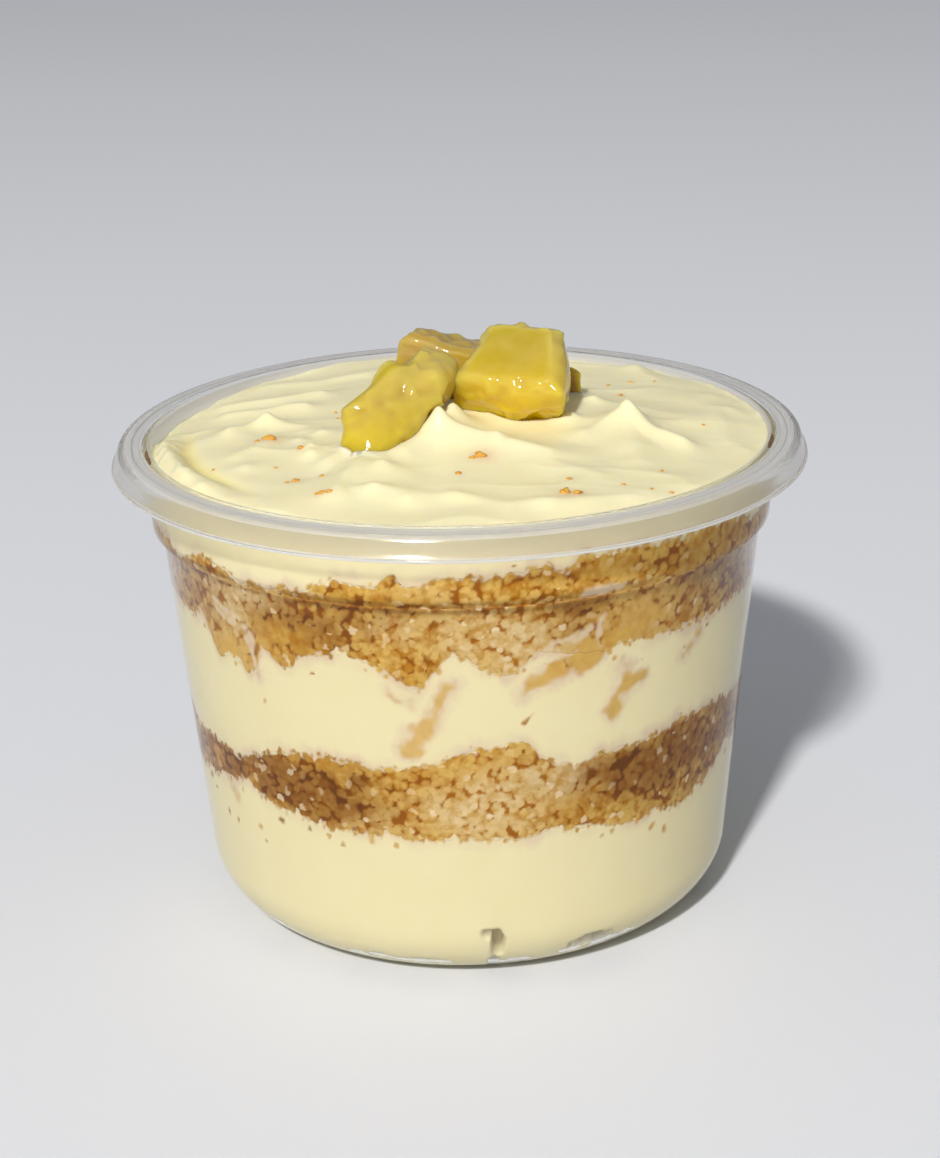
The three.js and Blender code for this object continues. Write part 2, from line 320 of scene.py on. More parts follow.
under = pot_height - WALL
skirt_bottom = pot_height - SKIRT_DROP
skirt_inner = rim_radius - BEAD - WALL
collar = float(pot_radius(under))
collar_inside = float(pot_radius(under, WALL))
rim = soften([
    (collar, under - 1.0, 0),
    (collar, under, 0.45),  # out, under the flange
    (FLANGE_RADIUS - WALL, under, 0.5),  # down, inside the skirt
    (skirt_inner - 0.25, skirt_bottom + 0.8, 0.3),
    (skirt_inner + 0.2, skirt_bottom, 0.25),
    (rim_radius, skirt_bottom, 0.2),  # round the bead at the skirt's foot
    (rim_radius, skirt_bottom + 0.4, 0.15),
    (rim_radius - BEAD, skirt_bottom + 0.6, 0.2),  # up the skirt
    (FLANGE_RADIUS + 0.25, pot_height - 0.1, 0.9),  # in, over the flange and its groove
    (FLANGE_RADIUS - 1.4, pot_height, 0.4),
    (FLANGE_RADIUS - 1.7, pot_height - GROOVE_DEPTH, 0.15),
    (FLANGE_RADIUS - 2.5, pot_height - GROOVE_DEPTH, 0.15),
    (FLANGE_RADIUS - 2.8, pot_height, 0.2),
    (collar_inside + 0.1, pot_height, 0.5),  # down into the mouth
    (collar_inside, under - 0.8, 0),
])
inside = np.concatenate([base_outline(WALL), wall_outline(WALL, under - 1.0)])[::-1]
outline = np.concatenate([base_outline(0), wall_outline(0, under - 1.2), rim, inside])
print("the pot's outline has", len(outline), "points")

# %% The pot as a skin
POT_COLUMNS = 320
MOUTH_ROWS = 6  # rows of the rounding from the rim down into the mouth
pot_grid = round_the_pot(outline[:, :1], outline[:, 1:], POT_COLUMNS)
pot_ends = np.array([[0, 0, RECESS_DEPTH], [0, 0, RECESS_DEPTH + WALL]])
pot = skin("pot", pot_grid[None], pot_ends[None])
row_radius, row_height = outline[:-1].T
is_rim = (row_radius > collar + 0.3) & (row_height > skirt_bottom - 1)
is_skirt = is_rim & (row_radius > FLANGE_RADIUS - WALL) & (row_height > skirt_bottom + 0.3)
is_step = (row_height > SHOULDER_LOW - 0.2) & (row_height < SHOULDER_HIGH + 1.1)
is_inside = np.arange(len(row_height)) >= len(outline) - len(inside) - MOUTH_ROWS
is_lip = is_inside & (row_height > under - LIP_HEIGHT)
# Finishes by number: 0 the clear wall, 1 the rim and the lip, 2 the skirt, 3 the step.
finish_of = np.repeat(is_rim * 1 + is_lip + is_skirt + is_step * 3, POT_COLUMNS)
finish_of = np.concatenate([finish_of, np.zeros(2 * POT_COLUMNS)])
pot.data.polygons.foreach_set("material_index", finish_of.astype(np.int32))
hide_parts("cup")

# %% [markdown]
# ## Lines where the layers meet
#
# Each layer ends in an uneven line round the pot. Its large waves are read from the CAD
# layers, so that the looks and the solids agree. Smaller lobes are added where spoonfuls
# meet, and then the outline of single grains: cake always bulges into cream, so the grain
# bumps point up on a cake's upper line and down on its lower one.

# %% Read the lines from the frame
COLUMNS = 1200
SEGMENTS = 48  # columns of the CAD layers
NEAR_WALL = 0.93
AT_AXIS = 0.01


def turned(angle):
    """An angle in degrees, brought between -180 and 180."""
    return (angle + 180) % 360 - 180


turn = np.arange(COLUMNS) / COLUMNS * 360
front = turned(turn)
ring = round_the_pot(pot_radius(45, WALL), 0.0, COLUMNS)


def node_points(node):
    """A CAD node's points in millimetres."""
    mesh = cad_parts[node].data
    points = np.empty(len(mesh.vertices) * 3)
    mesh.vertices.foreach_get("co", points)
    return points.reshape(-1, 3) / MM


def wall_line(node, upper):
    """Height at each column of a layer's upper or lower edge, where it meets the wall."""
    points = node_points(node)
    points = points[from_axis(points) > NEAR_WALL * pot_radius(points[:, 2], WALL)]
    part = np.degrees(angle_of(points)) / 360 * SEGMENTS
    part = np.round(part).astype(int) % SEGMENTS
    heights = np.full(SEGMENTS, -np.inf if upper else np.inf)
    (np.maximum if upper else np.minimum).at(heights, part, points[:, 2])
    return np.interp(turn, np.arange(SEGMENTS) * 360 / SEGMENTS, heights, period=360)


def axis_height(node, upper):
    """Height of a layer's upper or lower face at the axis."""
    points = node_points(node)
    middle = points[from_axis(points) < AT_AXIS, 2]
    return middle.max() if upper else middle.min()


# %% Add lobes and grains to the lines
WALL_RADIUS = 41.0
BEAD_SIZE = 1.05
BEAD_KINDS = [(0.8, 1.0), (0.5, 2.3), (0.35, 0.55)]  # strength and size of each kind
BACK_WAVE, SHORT_WAVE, SCALLOP = 1.1, 0.28, 0.75
around = 2 * math.pi * WALL_RADIUS


def beads(size, seed):
    """Scalloped outline of a row of round grains round the pot: over the grains near each
    column, the largest of sqrt(r^2 - distance^2), in millimetres."""
    count = round(around / size)
    random = np.random.default_rng(seed)
    shift = random.uniform(-0.3, 0.3, count)
    radius = random.uniform(0.45, 0.95, count)
    place = turn / 360 * count
    best = np.zeros(COLUMNS)
    for step in (-1, 0, 1):
        slot = np.floor(place) + step
        grain = slot.astype(int) % count
        away = place - slot - 0.5 - shift[grain]
        best = np.maximum(best, np.sqrt(np.clip(radius[grain] ** 2 - away**2, 0, None)))
    return best * size


def meeting(below, above, cake_up, lobes, seed):
    """The line and the axis height where two layers meet.

    It is half way between the two CAD edges, plus bell-shaped lobes (degrees from the front,
    height, half width), plus long waves on the side away from the front and short ones all
    round, plus the scallops of single grains on the cake's side.
    """
    line = (wall_line(below, True) + wall_line(above, False)) / 2
    for at, height, width in lobes:
        line = line + height * bell(turned(front - at), width)
    line += BACK_WAVE * ease(70, 100, abs(front)) * rough(ring, 9.0, seed)
    line += SHORT_WAVE * rough(ring, 2.6, seed + 20, 2)
    scallops = sum(strength * beads(BEAD_SIZE * size, seed + 30 + k)
                   for k, (strength, size) in enumerate(BEAD_KINDS))
    line += (1 if cake_up else -1) * SCALLOP * (scallops - scallops.mean())
    middle = (axis_height(below, True) + axis_height(above, False)) / 2
    return line, middle


lower_bottom = meeting("cream_bottom", "cake_lower", False, [
    (-50, 1.4, 2.5), (-37, 0.7, 4), (18, 0.4, 3), (35, -0.6, 2.5), (39.5, 0.8, 2),
    (49, -0.7, 4), (60, -0.9, 3), (65, 0.8, 3),
], 100)
lower_top = meeting("cake_lower", "cream_middle", True, [
    (-52, -1.2, 4), (-45.5, -0.9, 2.5), (-27, 0.6, 5), (-6, 0.7, 3), (10.5, 0.6, 2),
    (15, -1.0, 2.5), (21, -1.1, 3),
], 200)
upper_bottom = meeting("cream_middle", "cake_upper", False, [
    (-58, 2.2, 2.0), (-52, -1.4, 3), (-43.3, -1.7, 1.5), (-39.6, 1.7, 1.2), (-34.5, -1.9, 2.6),
    (-20, 1.5, 4), (-9, -0.8, 2.0), (-2.5, 3.2, 3), (2, 0.5, 2), (15.5, 1.4, 3), (35, 0.5, 4),
], 300)
upper_top = meeting("cake_upper", "cream_top", True, [
    (-60, -1.5, 4), (-52, 0.9, 3), (-43.3, -1.2, 1.5), (-37, -1.3, 3.0), (-28, -0.8, 2.5),
    (-22.5, 0.6, 2.0), (-12.2, 1.6, 1.3), (-9, -1.2, 2.0), (14, 0.6, 1.5), (17.0, -1.3, 1.8),
    (20.8, 0.9, 2.0), (28, 0.5, 3), (47, 0.6, 3), (55, 1.0, 4),
], 400)
for label, (line, middle) in {"lower cake": lower_top, "upper cake": upper_top}.items():
    print(label, "tops out between", line.min().round(1), "and", line.max().round(1), "mm")

# %% [markdown]
# ## The filling as skins
#
# A layer runs right through the pot, but only its edge shows. So its skin has a few coarse
# rings for the hidden faces and close rows where it touches the wall. There it reaches
# 0.3 mm into the plastic, as food wets the wall and leaves no air between. A point that
# sinks back from the wall is an air pore.

# %% Skins that press against the wall
CONTACT = WALL - 0.3
HIDDEN_RINGS = np.array([0.3, 0.6, 0.85, 0.96])  # shares of the wall's radius
HIDDEN_GAP = 0.05  # how far each hidden face keeps back from the next layer's


def hidden_face(line, middle, radius, lift):
    """Coarse rings of a layer's hidden face: the edge line flattens to the middle's height
    as the cube of the distance from the axis."""
    share = HIDDEN_RINGS[:, None]
    return round_the_pot(share * radius, middle + (line - middle) * share**3 + lift, line.size)


def wall_band(low, high, rows):
    """Rows of a band against the wall between two lines, evenly spaced at each column."""
    share = np.linspace(0, 1, rows)[:, None]
    height = low + (high - low) * share
    return round_the_pot(pot_radius(height, CONTACT), height, low.size)


def sink(band, depth):
    """Moves a band's points towards the axis by a depth."""
    factor = 1 - depth / from_axis(band)
    return np.stack([band[..., 0] * factor, band[..., 1] * factor, band[..., 2]], axis=-1)


def unrolled(places):
    """Places on the wall, unrolled: millimetres round from the front, and height."""
    return np.stack([angle_of(places) * WALL_RADIUS, places[..., 2]], axis=-1)


def patches(flat, spots):
    """Sum of soft bell-shaped patches on the unrolled wall: degrees from the front, height,
    half width and half height in millimetres, and strength."""
    total = np.zeros(flat.shape[:-1])
    for at, up, wide, tall, strength in spots:
        across = (flat[..., 0] - math.radians(at) * WALL_RADIUS) / wide
        total += strength * np.exp(-0.5 * (across**2 + ((flat[..., 1] - up) / tall) ** 2))
    return total


def from_line(flat, points):
    """Distance on a plane from places to the nearest of the lines between points."""
    nearest = np.full(flat.shape[:-1], np.inf)
    for start, end in zip(points, points[1:]):
        way = np.subtract(end, start)
        share = np.clip((flat - start) @ way / (way @ way), 0, 1)
        away = np.linalg.norm(flat - start - share[..., None] * way, axis=-1)
        nearest = np.minimum(nearest, away)
    return nearest


# %% [markdown]
# ## Cake and cream at the wall
#
# Sponge is rubbed to crumbs and pressed in. Against the wall its grains are flat and merge
# into pale lumps with round edges, and where no grain reaches the wall there is an amber
# pore with hollow sides. Syrup soaks some parts smooth. Cream runs between the lumps, and
# streaks of cake are drawn down into the cream. The layers' own skins meet in lines too
# plain for that, so every layer takes the same measures at the wall, from one field of
# grains, and the cake's colour may pass a little beyond its skin.

# %% Smears, veins, specks and zones
# A smear has its half width, its strength and the points that it runs through, each in
# degrees from the front and height. A vein of cream is the same without a strength. A speck
# has its degrees, height and radius. A zone is a list of soft patches: degrees, height, half
# width, half height and strength.
SMEARS = [
    (0.9, 0.80, [(-3.0, 45.5), (-5.0, 42.5), (-7.5, 39.8), (-11.5, 36.4)]),
    (0.7, 0.90, [(10.5, 44.3), (13.5, 45.6), (17.0, 46.0)]),
    (1.3, 0.95, [(16.0, 46.3), (19.5, 47.6), (23.5, 48.6)]),
    (0.8, 0.92, [(30.2, 45.2), (31.0, 43.0), (29.4, 41.4), (28.2, 39.4)]),
    (0.7, 0.92, [(31.5, 42.6), (33.8, 43.2)]),
    (0.35, 0.75, [(50.0, 47.6), (47.6, 45.8), (45.2, 44.4)]),
    (0.25, 0.90, [(-41.8, 44.4), (-41.4, 43.6)]),
    (0.30, 0.50, [(-14.0, 44.8), (-10.5, 43.6)]),
    (0.8, 0.50, [(96, 45.0), (101, 42.0), (99, 38.5)]),
    (0.7, 0.60, [(-104, 46.0), (-110, 42.5)]),
    (0.9, 0.60, [(150, 46.5), (157, 44.0), (160, 40.0)]),
    (0.35, 0.45, [(-62, 27.5), (-58, 25.0), (-55, 23.0)]),
]
VEINS = [
    (0.45, [(-41.2, 43.6), (-42.6, 46.6), (-43.0, 49.6)]),
    (0.35, [(-44.0, 50.2), (-47.5, 50.6), (-52.5, 51.6)]),
    (0.30, [(-46.0, 51.6), (-51.5, 52.8)]),
    (0.30, [(13.5, 49.4), (17.5, 50.6), (22.5, 52.0)]),
    (0.35, [(23.0, 49.2), (25.0, 50.6), (25.6, 53.2)]),
    (0.30, [(20.6, 57.4), (28.0, 58.0)]),
    (0.30, [(120, 50.0), (126, 52.5), (133, 53.0)]),
    (0.30, [(-130, 49.0), (-137, 52.0)]),
]
SPECKS = [
    (11.5, 40.4, 0.40), (-41.3, 39.5, 0.25), (-59.9, 19.2, 0.40), (-55.9, 18.8, 0.35),
    (-48.3, 19.5, 0.35), (-45.9, 17.7, 0.20), (-40.1, 21.7, 0.40), (-33.5, 22.1, 0.30),
    (-25.3, 20.9, 0.40), (-19.4, 22.3, 0.35), (-22.5, 23.7, 0.45), (40.1, 20.0, 0.40),
    (42.7, 18.6, 0.40), (26.6, 21.0, 0.30), (29.8, 22.0, 0.30), (-64.3, 23.5, 0.30),
]
ZONES = {
    "pale": [
        (7, 29, 6, 3.2, 1.0), (-1, 27, 4, 2.4, 0.7), (15, 31.5, 3, 2.5, 0.7), (-18, 25, 4, 1.4, 0.5),
        (24, 31.5, 4, 1.5, 0.4), (8, 51.5, 5, 2.6, 1.0), (0, 53.5, 3, 2.0, 0.5), (15, 49.5, 3, 1.8, 0.8),
        (-49, 53, 4.5, 2.3, 0.9), (-38, 55, 3, 1.2, 0.6), (-13, 53.5, 2.5, 1.5, 0.6),
        (-48, 46.5, 4.5, 2.0, 1.0), (31, 51.5, 5, 3, 0.7), (-6, 59, 4, 0.8, 0.3), (130, 54, 9, 3, 0.8),
        (-125, 53, 8, 3, 0.8), (175, 29, 9, 3, 0.8), (-95, 30, 7, 3, 0.6),
    ],
    "soak": [
        (-22, 58.5, 5, 1.2, 0.5), (-11, 58.5, 5, 1.0, 0.3), (16, 59.8, 5, 1.2, 0.35),
        (24, 61, 3.5, 1.0, 0.35), (29, 60.6, 3, 1.0, 0.3), (47, 60, 5, 2, 0.3), (-36, 49.8, 3.5, 2.0, 0.5),
        (-49, 46.3, 4.0, 1.7, 1.0), (-9, 46.2, 2.2, 1.3, 0.6), (31, 51.5, 5.0, 3.0, 0.9),
        (-32, 51.2, 4, 2.2, 0.4), (54, 59.5, 9, 4, 0.55), (-69, 53, 6, 4, 0.5),
        (22, 49, 2.5, 1.5, 0.5), (-33, 32.6, 3, 0.9, 0.45), (-27, 32.8, 2.5, 0.8, 0.45),
        (20, 26.3, 2.5, 1.5, 0.5), (2, 34.6, 5, 1.2, 0.3), (-5, 32.5, 4, 1.2, 0.35), (-11, 25, 3, 1.0, 0.35),
        (110, 51, 10, 3, 0.6), (-155, 54, 9, 3, 0.6), (125, 29, 10, 3, 0.4), (-140, 27, 9, 3, 0.4),
    ],
    "brown": [
        (-31, 52.3, 4.5, 2.4, 1.0), (-22, 54.5, 4, 1.6, 0.8), (22, 55.6, 3.5, 0.9, 1.0),
        (-20, 57.0, 6, 0.7, 0.6), (0, 56.6, 9, 0.7, 0.5), (19, 52.5, 2, 1.2, 0.5), (58, 56, 9, 4, 0.4),
        (-63, 54, 6, 4, 0.5), (-34, 28.5, 8, 3.4, 1.0), (-50, 28, 6, 3, 0.45), (-24, 29, 4, 2.4, 0.8),
        (35, 30.0, 8, 3, 0.8), (54, 30, 9, 4, 1.0), (-65, 27, 8, 4, 0.8), (90, 55, 14, 4, 0.6),
        (-100, 54, 14, 4, 0.6), (100, 28, 15, 4, 0.7), (-110, 28, 12, 4, 0.6),
    ],
}

# %% Measures of the food at the wall
GRAIN = 0.80
MISSING = 0.48
SPECK_SPACING = 1.9
GAP_DEPTH, PORE_DEPTH = 0.02, 0.08
PER_DEGREE = np.array([math.radians(1) * WALL_RADIUS, 1])  # degrees and height to millimetres
meetings = np.stack([lower_bottom[0], lower_top[0], upper_bottom[0], upper_top[0]])


def cream_veins(wavy, band):
    """1 on a vein of cream, 0 a little beyond its half width, with an uneven edge."""
    uneven = 0.5 * noise(band, 0.9, 703)
    vein = np.zeros(uneven.shape)
    for half, points in VEINS:
        near = half - from_line(wavy, np.array(points) * PER_DEGREE)
        vein = np.maximum(vein, ease(-0.5, 0.25, near + uneven))
    return vein


def cake_smears(wavy, band, ragged):
    """How much cake is drawn over the cream, broken by noise of two sizes, and the stain
    round it."""
    patchy, crumbly = noise(band, 1.9, 704), noise(band, 0.9, 705)
    smeared, stain = np.zeros(ragged.shape), np.zeros(ragged.shape)
    for half, strength, points in SMEARS:
        near = half - from_line(wavy, np.array(points) * PER_DEGREE)
        broken = near + 0.3 * ragged + patchy + 0.6 * crumbly
        smeared = np.maximum(smeared, strength * ease(-0.7, 0.7, broken))
        stain = np.maximum(stain, strength * ease(-2.0, 0.3, near + 0.5 * ragged))
    return smeared, stain


def single_grains(wavy, band, rare):
    """Round specks of cake in the cream: scattered ones, where their own number is above
    rare, and the listed ones."""
    apart, number = grains(band, SPECK_SPACING, 722)
    speck = ease(0.1, -0.1, apart * SPECK_SPACING - 0.15 - 0.35 * number)
    speck = 0.9 * speck * (number > rare)
    for angle, at, radius in SPECKS:
        away = np.linalg.norm(wavy - np.array((angle, at)) * PER_DEGREE, axis=-1)
        speck = np.maximum(speck, 0.85 * ease(0.2, -0.1, away - radius))
    return speck


def zones(band, smeared):
    """How pale, soaked and brown the cake is: soft patches times (1 + 0.7 noise). A smear is
    both pale and soaked."""
    marks = {label: patches(unrolled(band), spots) for label, spots in ZONES.items()}
    marks["soak"] = np.maximum(marks["soak"], 1.3 * ease(0.05, 0.4, smeared))
    marks["pale"] = np.maximum(marks["pale"], ease(0.05, 0.4, smeared))
    uneven = rough(band, 2.4, 730, 2)
    return {label: (values * (1 + 0.7 * uneven)).clip(0, 1) for label, values in marks.items()}


def wall_marks(band, step=1):
    """Measures of the food at a band's points, and how deep it lies behind the wall.

    The depth in the cake is the least way up or down to a meeting line, plus a ragged edge
    that single grains push out. From it come cake (1) or cream (0), less where a vein runs,
    more where a smear or a speck lies, and the pinkish veil in the cream beside cake. Tone is
    each grain's own number, from -1 to 1. A gap is where the nearest grain's middle is far
    and a pore where it is farther still: only these lie behind the wall.
    """
    lines = meetings[:, None, ::step]
    height = band[..., 2]
    lower = np.minimum(height - lines[0], lines[1] - height)
    upper = np.minimum(height - lines[2], lines[3] - height)
    inside = np.maximum(lower, upper)
    wave = np.stack([noise(band, 2.2, 701), noise(band, 2.2, 702)], axis=-1)
    wavy = unrolled(band) + 0.8 * wave
    drift = np.stack([noise(band, 1.2, 710 + k) for k in range(3)], axis=-1)
    nearest, tone = grains(band + 0.22 * drift, GRAIN, 720, MISSING)
    ragged = (1.4 * (0.66 - nearest)).clip(-0.6, 0.6) + 0.15 * noise(band, 0.45, 721)
    vein = cream_veins(wavy, band)
    smeared, stain = cake_smears(wavy, band, ragged)
    under_cake = (height < lines[0]) | ((height > lines[1] + 6) & (height < lines[2]))
    rare = np.where(under_cake, 0.25, 0.75) + 0.22 * abs(inside)
    cake = ease(-0.25, 0.25, inside + ragged) * (1 - 0.85 * vein)
    cake = np.maximum(np.maximum(cake, smeared), single_grains(wavy, band, rare))
    patchy = ease(-0.35, 0.45, noise(band, 4.5, 740))
    veil = ease(-2.2, 0.0, inside + 0.9 * noise(band, 1.7, 741)) * (0.25 + 0.75 * patchy)
    veil = np.maximum(np.maximum(veil, stain), vein)
    marks = zones(band, smeared)
    soaked = ease(0.45, 0.95, marks["soak"])
    open_here = 0.12 * noise(band, 3.4, 731) + 0.02 * marks["brown"] - 0.09 * marks["pale"]
    pore = ease(0.86, 0.94, nearest + open_here) * (1 - soaked)
    gap = ease(0.50, 1.00, nearest + open_here) * (1 - 0.5 * soaked)
    marks.update(cake=cake, pore=pore, gap=gap, veil=veil, tone=2 * tone - 1)
    return marks, cake * (GAP_DEPTH * gap + PORE_DEPTH * pore)


def padded(marks, before, after):
    """Marks of a band's rows, repeated onto the rows before and after it."""
    return {label: np.pad(values, [(before, after), (0, 0)], mode="edge")
            for label, values in marks.items()}


# %% Layers that touch the wall all over
HIDDEN = len(HIDDEN_RINGS)


def layer(name, low, high, rows, node, slot):
    """A layer between two meeting lines: hidden face, wall band, hidden face."""
    band = wall_band(low[0], high[0], rows)
    marks, depth = wall_marks(band)
    reach = pot_radius(band[[0, -1], :, 2], CONTACT)
    bottom = hidden_face(*low, reach[0], HIDDEN_GAP)
    top = hidden_face(*high, reach[1], -HIDDEN_GAP)[::-1]
    grid = np.concatenate([bottom, sink(band, depth), top])
    ends = np.array([[0, 0, low[1] + HIDDEN_GAP], [0, 0, high[1] - HIDDEN_GAP]])
    piece = skin(name, grid[None], ends[None], padded(marks, HIDDEN, HIDDEN), (HIDDEN, HIDDEN))
    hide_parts(node)
    return piece


crumb_lower = layer("crumb_lower", lower_bottom, lower_top, 62, "cake_lower", "cake")
filling_middle = layer("filling_middle", lower_top, upper_bottom, 66, "cream_middle", "cream")
crumb_upper = layer("crumb_upper", upper_bottom, upper_top, 66, "cake_upper", "cake")

# %% [markdown]
# ## Bottom cream
#
# The cream wets the wall all over, apart from a few air pockets round the foot, where it did
# not flow into the corner. Below the band, rows follow the rounded corner and the base.

# %% Bottom cream, with air pockets in the corner
FLOOR_POINTS, CORNER_ROWS, BAND_ROWS = 6, 34, 34
CORNER_MIDDLE = 34  # the rounded corner's radius from the axis, about half way up
# A pocket: degrees from the front, height, half width, half height and depth.
POCKETS = [
    (5.2, 6.6, 1.0, 2.6, 1.6), (4.6, 2.4, 0.9, 2.0, 1.6), (9.0, 2.2, 2.4, 0.9, 1.6),
    (3.6, 8.4, 1.3, 0.7, 1.2), (27, 4.4, 3.6, 0.9, 2.0), (33, 3.0, 3.2, 0.9, 1.8),
    (22, 3.0, 1.6, 0.7, 1.2), (-27.5, 2.4, 1.6, 0.9, 1.8), (-14, 2.8, 5.0, 0.6, 1.4),
    (-21.5, 3.2, 1.6, 0.6, 1.2), (-49, 3.2, 2.2, 0.9, 1.6),
    (75, 2.4, 4.0, 1.0, 1.4), (118, 3.0, 3.0, 1.4, 1.8), (160, 2.0, 4.0, 1.0, 1.4),
    (-95, 2.6, 3.5, 1.1, 1.5), (-140, 2.0, 4.0, 0.9, 1.2),
]


def corner_rows(rows):
    """Rows up the rounded corner as (radius, height, inward direction), pressed outwards."""
    bend = np.radians(np.linspace(3, 90, rows))
    inward = np.stack([-np.sin(bend), np.cos(bend)], axis=-1)
    centre = np.array([FOOT_RADIUS, CORNER_RADIUS])
    return centre - (CORNER_RADIUS - CONTACT) * inward, inward


def air_pockets(places):
    """Depth of the cream behind the corner: each pocket is a bell with a torn outline, cut
    off at a level so that it has an edge."""
    torn = 0.4 * rough(places, 1.8, 510)
    angle = np.degrees(angle_of(places))
    depth = np.zeros(places.shape[:-1])
    for at, up, wide, tall, deep in POCKETS:
        across = np.radians(turned(angle - at)) * CORNER_MIDDLE
        away = np.hypot(across / wide, (places[..., 2] - up) / tall) + torn
        depth = np.maximum(depth, deep * ease(1.15, 0.65, away))
    return depth


base = base_outline(CONTACT)[:FLOOR_POINTS]
base_grid = round_the_pot(base[:, :1], base[:, 1:], COLUMNS)
path, inward = corner_rows(CORNER_ROWS)
pocket_depth = air_pockets(round_the_pot(path[:, :1], path[:, 1:], COLUMNS))
corner = round_the_pot(path[:, :1] + pocket_depth * inward[:, :1],
                       path[:, 1:] + pocket_depth * inward[:, 1:], COLUMNS)
band = wall_band(np.full(COLUMNS, CORNER_RADIUS + 0.4), lower_bottom[0], BAND_ROWS)
marks, depth = wall_marks(band)
top = hidden_face(*lower_bottom, pot_radius(lower_bottom[0], CONTACT), -HIDDEN_GAP)[::-1]
grid = np.concatenate([base_grid, corner, sink(band, depth), top])
ends = np.array([[0, 0, RECESS_DEPTH + CONTACT], [0, 0, lower_bottom[1] - HIDDEN_GAP]])
before = len(base_grid) + len(corner)
marks = padded(marks, before, HIDDEN)
# Painted shade: the cream's colour darkens with the depth of each air pocket.
marks["hollow"] = np.zeros((len(grid), COLUMNS))
marks["hollow"][len(base_grid):before] = ease(0.4, 2.0, pocket_depth)
filling_bottom = skin("filling_bottom", grid[None], ends[None], marks, (0, HIDDEN))
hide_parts("cream_bottom")

# %% [markdown]
# ## Pineapple
#
# Each chunk is a wedge cut from a ring of cooked pineapple: flat cut faces, soft torn edges
# and fibres that run one way. The CAD chunk gives its faces. A sum of high powers of the
# faces' distances gives a body inside them all with rounded edges, and noise stretched
# along the chunk's length gives the fibres.

# %% Measures of the chunks
EDGE_POWER = 38
CHUNK_ROWS, CHUNK_COLUMNS = 110, 200
CHUNK_SWELL = 1.045
TOUCH = 0.1
STRINGY = "pineapple_back"
AMBER = {"pineapple_small": 0.8, "pineapple_back": 0.45}
# A pull: its direction, how far it draws the surface out, and its spread in radians.
PULLS = {
    "pineapple_left": [
        ((6.0, 5.5, 5.5), 2.0, 0.35), ((7.8, 7.5, 2.5), 2.0, 0.4), ((8.6, -2.0, -1.5), -3.8, 0.42),
        ((8.6, 2.0, -3.5), -3.0, 0.4), ((2.2, 1.8, 8.1), -2.3, 0.28), ((5.0, 3.5, 6.5), -0.9, 0.3),
        ((7.0, 3.5, 5.0), 0.7, 0.25), ((-2.0, 1.5, 6.4), 1.3, 0.35), ((-5.5, -9.0, -3.8), 3.8, 0.38),
    ],
    "pineapple_right": [
        ((1.0, -0.4, -0.1), 1.1, 0.45), ((-0.9, -0.3, -0.4), 1.1, 0.4), ((0, -4.5, -5), 1.4, 0.6),
        ((0.8, -0.5, -0.8), -1.6, 0.3), ((-0.7, -0.5, -0.8), -1.0, 0.3),
    ],
    "pineapple_back": [((-1, 0, -0.2), 1.0, 0.4), ((-0.6, -0.3, 0.8), 0.7, 0.3)],
    "pineapple_small": [((1, 0, 0.2), -1.0, 0.6), ((0, 0, 1), -1.6, 0.8)],
}

# %% Chunk bodies


def ball(rows, columns):
    """Directions all round: rows from straight down to straight up, columns anticlockwise."""
    tilt = np.radians(np.linspace(-90, 90, rows + 2))
    angle = np.arange(columns) / columns * 2 * math.pi
    tilt, angle = np.meshgrid(tilt, angle, indexing="ij")
    level = np.cos(tilt)
    return np.stack([level * np.cos(angle), level * np.sin(angle), np.sin(tilt)], axis=-1)


class Chunk:
    """A chunk's middle, its faces (directions and distances) and its length direction."""

    def __init__(self, node):
        low, high = [np.array(corner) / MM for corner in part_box(node)]
        self.node = node
        self.middle = (low + high) / 2
        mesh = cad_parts[node].data
        normals = np.empty(len(mesh.polygons) * 3)
        centres = np.empty(len(mesh.polygons) * 3)
        mesh.polygons.foreach_get("normal", normals)
        mesh.polygons.foreach_get("center", centres)
        normals = normals.reshape(-1, 3)
        distances = np.sum(normals * (centres.reshape(-1, 3) / MM - self.middle), axis=-1)
        faces = np.unique(np.column_stack([normals, distances]).round(2), axis=0)
        self.normals = faces[:, :3]
        self.distances = faces[:, 3] * CHUNK_SWELL
        self.length = np.linalg.svd(node_points(node) - self.middle)[2][0]
        self.radius = np.linalg.norm(node_points(node) - self.middle, axis=-1).max()

    def reach(self, directions):
        """Distance from the middle to the surface, (sum of (n.d / h)^p)^(-1/p) plus the pulls,
        and how near an edge that is: the second largest n.d / h as a share of the largest."""
        facing = (directions @ self.normals.T / self.distances).clip(0)
        ranked = np.sort(facing, axis=-1)
        reach = np.sum(facing**EDGE_POWER, axis=-1) ** (-1 / EDGE_POWER)
        for toward, pull, spread in PULLS[self.node]:
            toward = np.array(toward) / np.linalg.norm(toward)
            away = np.arccos((directions @ toward).clip(-1, 1))
            reach = reach + pull * bell(away, spread)
        return reach, ranked[..., -2] / ranked[..., -1]

    def gap(self, places):
        """Distance from the surface out to places, along lines from the middle."""
        away = places - self.middle
        distance = np.linalg.norm(away, axis=-1)
        return distance - self.reach(away / distance[..., None])[0]

    def inside(self, places):
        """True where places are inside the body."""
        return self.gap(places) < -TOUCH


chunks = [Chunk(node) for node in sorted(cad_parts) if node.startswith("pineapple")]
for chunk in chunks:
    print(chunk.node, "has", len(chunk.normals), "faces and reaches", chunk.radius.round(1), "mm")

# %% Chunks as skins


